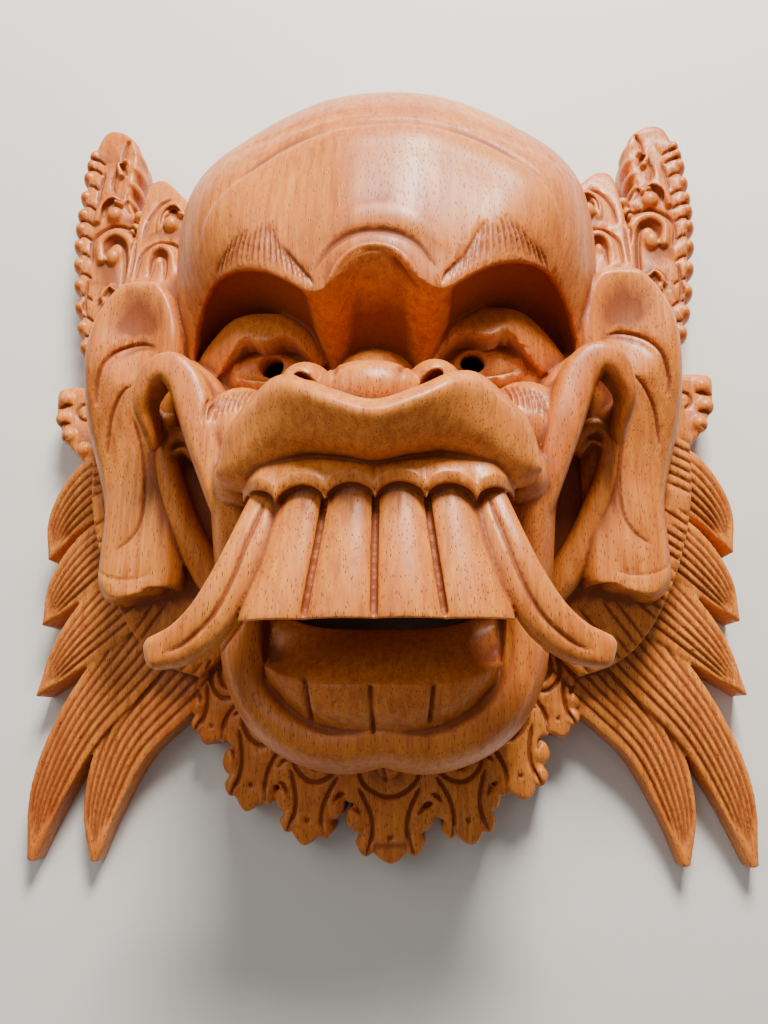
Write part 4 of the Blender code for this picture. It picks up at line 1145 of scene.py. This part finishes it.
def stain_and_shade_of(mesh, maps):
    """Dark stain and painted shade in every recess: small cuts and hollows of the surface."""
    spots = corners_of(mesh)
    normals, facing = facing_of(mesh)
    edges = np.empty(len(mesh.edges) * 2, int)
    mesh.edges.foreach_get("vertices", edges)
    edges = edges.reshape(-1, 2)
    # Carved grooves and hollow places are darkened both as stain and as painted shade, the deeper the darker
    stain_and_shade = np.clip(relief_at(maps, spots, 0) - 0.35, 0, 1) * facing
    for times, depth in ((4, 0.35), (30, 1.6)):
        hollowness = ((smoothed(spots, edges, times) - spots) * normals).sum(axis=1)
        stain_and_shade = stain_and_shade + np.clip(hollowness / depth, -0.4, 1)
    return smoothed(np.clip(stain_and_shade, 0, 1)[:, None], edges, 1)[:, 0]


def wood():
    """Oiled light wood: grain and pores along the mask's length, red-brown stain and painted shade in the
    recesses.
    """
    material = bpy.data.materials.new("oiled_wood")
    material.use_nodes = True
    tree = material.node_tree
    shader = tree.nodes["Principled BSDF"]

    def add(kind, **values):
        """A new node with its values set."""
        node = tree.nodes.new(kind)
        for name, value in values.items():
            if name in node.inputs:
                node.inputs[name].default_value = value
            else:
                setattr(node, name, value)
        return node

    def noise(stretch, **values):
        """Noise stretched along the mask."""
        mapping = add("ShaderNodeMapping", Scale=stretch)
        tree.links.new(place.outputs["Object"], mapping.inputs["Vector"])
        node = add("ShaderNodeTexNoise", **values)
        node.inputs["Scale"].default_value = 1
        tree.links.new(mapping.outputs["Vector"], node.inputs["Vector"])
        return node.outputs["Fac"]

    def ramp(source, *stops):
        """Colours along a value."""
        node = add("ShaderNodeValToRGB")
        while len(node.color_ramp.elements) < len(stops):
            node.color_ramp.elements.new(0.5)
        for element, (spot, colour) in zip(node.color_ramp.elements, stops):
            element.position = spot
            element.color = (*colour, 1)
        tree.links.new(source, node.inputs["Fac"])
        return node.outputs["Color"]

    def mixed(share, first, second, kind="MIX"):
        """Two colours mixed by a share."""
        node = add("ShaderNodeMix", data_type="RGBA", blend_type=kind)
        for name, value in (("Factor", share), ("A", first), ("B", second)):
            socket = node.inputs[name]
            if isinstance(value, (int, float, tuple)):
                socket.default_value = value
            else:
                tree.links.new(value, socket)
        return node.outputs["Result"]

    place = add("ShaderNodeTexCoord")
    grain = noise((520, 26, 520), Detail=6, Roughness=0.62, Distortion=0.4)
    wide = noise((22, 9, 22), Detail=3, Roughness=0.5)
    fine = noise((1800, 140, 1800), Detail=2, Roughness=0.6)
    wood_colour = ramp(grain, (0.25, DARK_GRAIN), (0.5, MIDDLE_GRAIN), (0.78, LIGHT_GRAIN))
    colour = mixed(1.0, wood_colour, ramp(wide, (0.35, WIDE_SHADE), (0.62, WHITE)), "MULTIPLY")
    colour = mixed(1.0, colour, ramp(fine, (0.3, FINE_SHADE), (0.6, WHITE)), "MULTIPLY")
    mapping = add("ShaderNodeMapping", Scale=(1900, 330, 1900))
    tree.links.new(place.outputs["Object"], mapping.inputs["Vector"])
    pores = add("ShaderNodeTexVoronoi", Scale=1, Randomness=1)
    tree.links.new(mapping.outputs["Vector"], pores.inputs["Vector"])
    pore = ramp(pores.outputs["Distance"], (0.16, WHITE), (0.3, BLACK))
    some = add("ShaderNodeSeparateColor")
    tree.links.new(pores.outputs["Color"], some.inputs["Color"])
    chosen = ramp(some.outputs["Red"], (0.36, BLACK), (0.46, WHITE))
    pore = mixed(1.0, pore, chosen, "MULTIPLY")
    colour = mixed(pore, colour, PORE_COLOUR)
    # Red-brown stain and painted shade over the recesses, read from the points of the mesh
    stain_and_shade = add("ShaderNodeAttribute", attribute_name="stain_and_shade")
    soft = ramp(stain_and_shade.outputs["Fac"], (0.08, BLACK), (0.65, STAIN_AND_SHADE_STRENGTH))
    colour = mixed(soft, colour, STAIN_AND_SHADE_COLOUR)
    tree.links.new(colour, shader.inputs["Base Color"])
    shader.inputs["Specular IOR Level"].default_value = 0.3
    rough = ramp(grain, (0.3, (0.42, 0.42, 0.42)), (0.7, (0.32, 0.32, 0.32)))
    tree.links.new(mixed(soft, rough, (0.6, 0.6, 0.6, 1)), shader.inputs["Roughness"])
    bump = add("ShaderNodeBump", Strength=0.35, Distance=0.0002, invert=True)
    tree.links.new(pore, bump.inputs["Height"])
    tree.links.new(bump.outputs["Normal"], shader.inputs["Normal"])
    return material


def mask():
    """The finished piece."""
    mesh = carving()
    maps = relief_maps()
    carve_small(mesh, maps)
    triangles = sum(len(p.vertices) - 2 for p in mesh.polygons)
    mesh = changed(mesh, "DECIMATE", ratio=min(MOST_TRIANGLES / triangles, 1.0))
    # Stain and painted shade of the recesses, kept on the points of the mesh
    stain_and_shade = mesh.attributes.new("stain_and_shade", "FLOAT", "POINT")
    stain_and_shade.data.foreach_set("value", stain_and_shade_of(mesh, maps))
    spots = (corners_of(mesh) + (PLACE[0], PLACE[1], 0)) * MM
    spots = np.clip(spots, np.array(cad_box[0]), np.array(cad_box[1]))
    mesh.vertices.foreach_set("co", spots.ravel())
    mesh.validate()
    mesh.shade_smooth()
    mesh.materials.clear()
    mesh.materials.append(wood())
    piece = placed("carved_mask", mesh)
    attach(piece, "root")
    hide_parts("barong_mask")


def floor():
    """Plain pale floor."""
    sheet = bmesh.new()
    bmesh.ops.create_grid(sheet, x_segments=2, y_segments=2, size=FLOOR_HALF_SIZE)
    mesh = bpy.data.meshes.new("floor")
    sheet.to_mesh(mesh)
    sheet.free()
    material = bpy.data.materials.new("pale_floor")
    material.use_nodes = True
    shader = material.node_tree.nodes["Principled BSDF"]
    shader.inputs["Base Color"].default_value = FLOOR_COLOUR
    shader.inputs["Roughness"].default_value = 0.8
    mesh.materials.append(material)
    made = placed("floor", mesh)
    made.location = (0, 0, -FLOOR_DROP)


def lamp(name, spot, size, power, colour):
    """Soft square light, turned to the mask."""
    light = bpy.data.lights.new(name, "AREA")
    light.size = size
    light.energy = power
    light.color = colour
    made = placed(name, light)
    made.location = spot
    made.rotation_euler = (Vector(LIGHT_AIM) - Vector(spot)).to_track_quat("-Z", "Y").to_euler()


def lights():
    """Window light from beyond the forehead, a weak fill and a dim room."""
    lamp("window", WINDOW_SPOT, WINDOW_SIZE, WINDOW_POWER, WINDOW_COLOUR)
    lamp("fill", FILL_SPOT, FILL_SIZE, FILL_POWER, FILL_COLOUR)
    world = bpy.data.worlds.new("room")
    bpy.context.scene.world = world
    world.use_nodes = True
    background = world.node_tree.nodes["Background"]
    background.inputs["Color"].default_value = ROOM_COLOUR
    background.inputs["Strength"].default_value = ROOM_STRENGTH


def camera():
    """Camera close above the teeth, looking a little towards the forehead, as in the photograph."""
    data = bpy.data.cameras.new("camera")
    data.sensor_fit = "HORIZONTAL"
    data.sensor_width = SENSOR_WIDTH
    data.lens = FOCAL_PIXELS / PICTURE_PIXELS * SENSOR_WIDTH
    data.clip_start = 0.01
    made = placed("camera", data)
    shift = Vector((*PLACE, 0))
    spot = (Vector(CAMERA_SPOT) + shift) * MM
    aim = (Vector(CAMERA_AIM) + shift) * MM
    forward = (aim - spot).normalized()
    right = forward.cross(Vector((0, 1, 0))).normalized()
    up = right.cross(forward)
    made.location = spot
    made.rotation_euler = Matrix((right, up, -forward)).transposed().to_euler()
    bpy.context.scene.camera = made


mask()
floor()
lights()
camera()
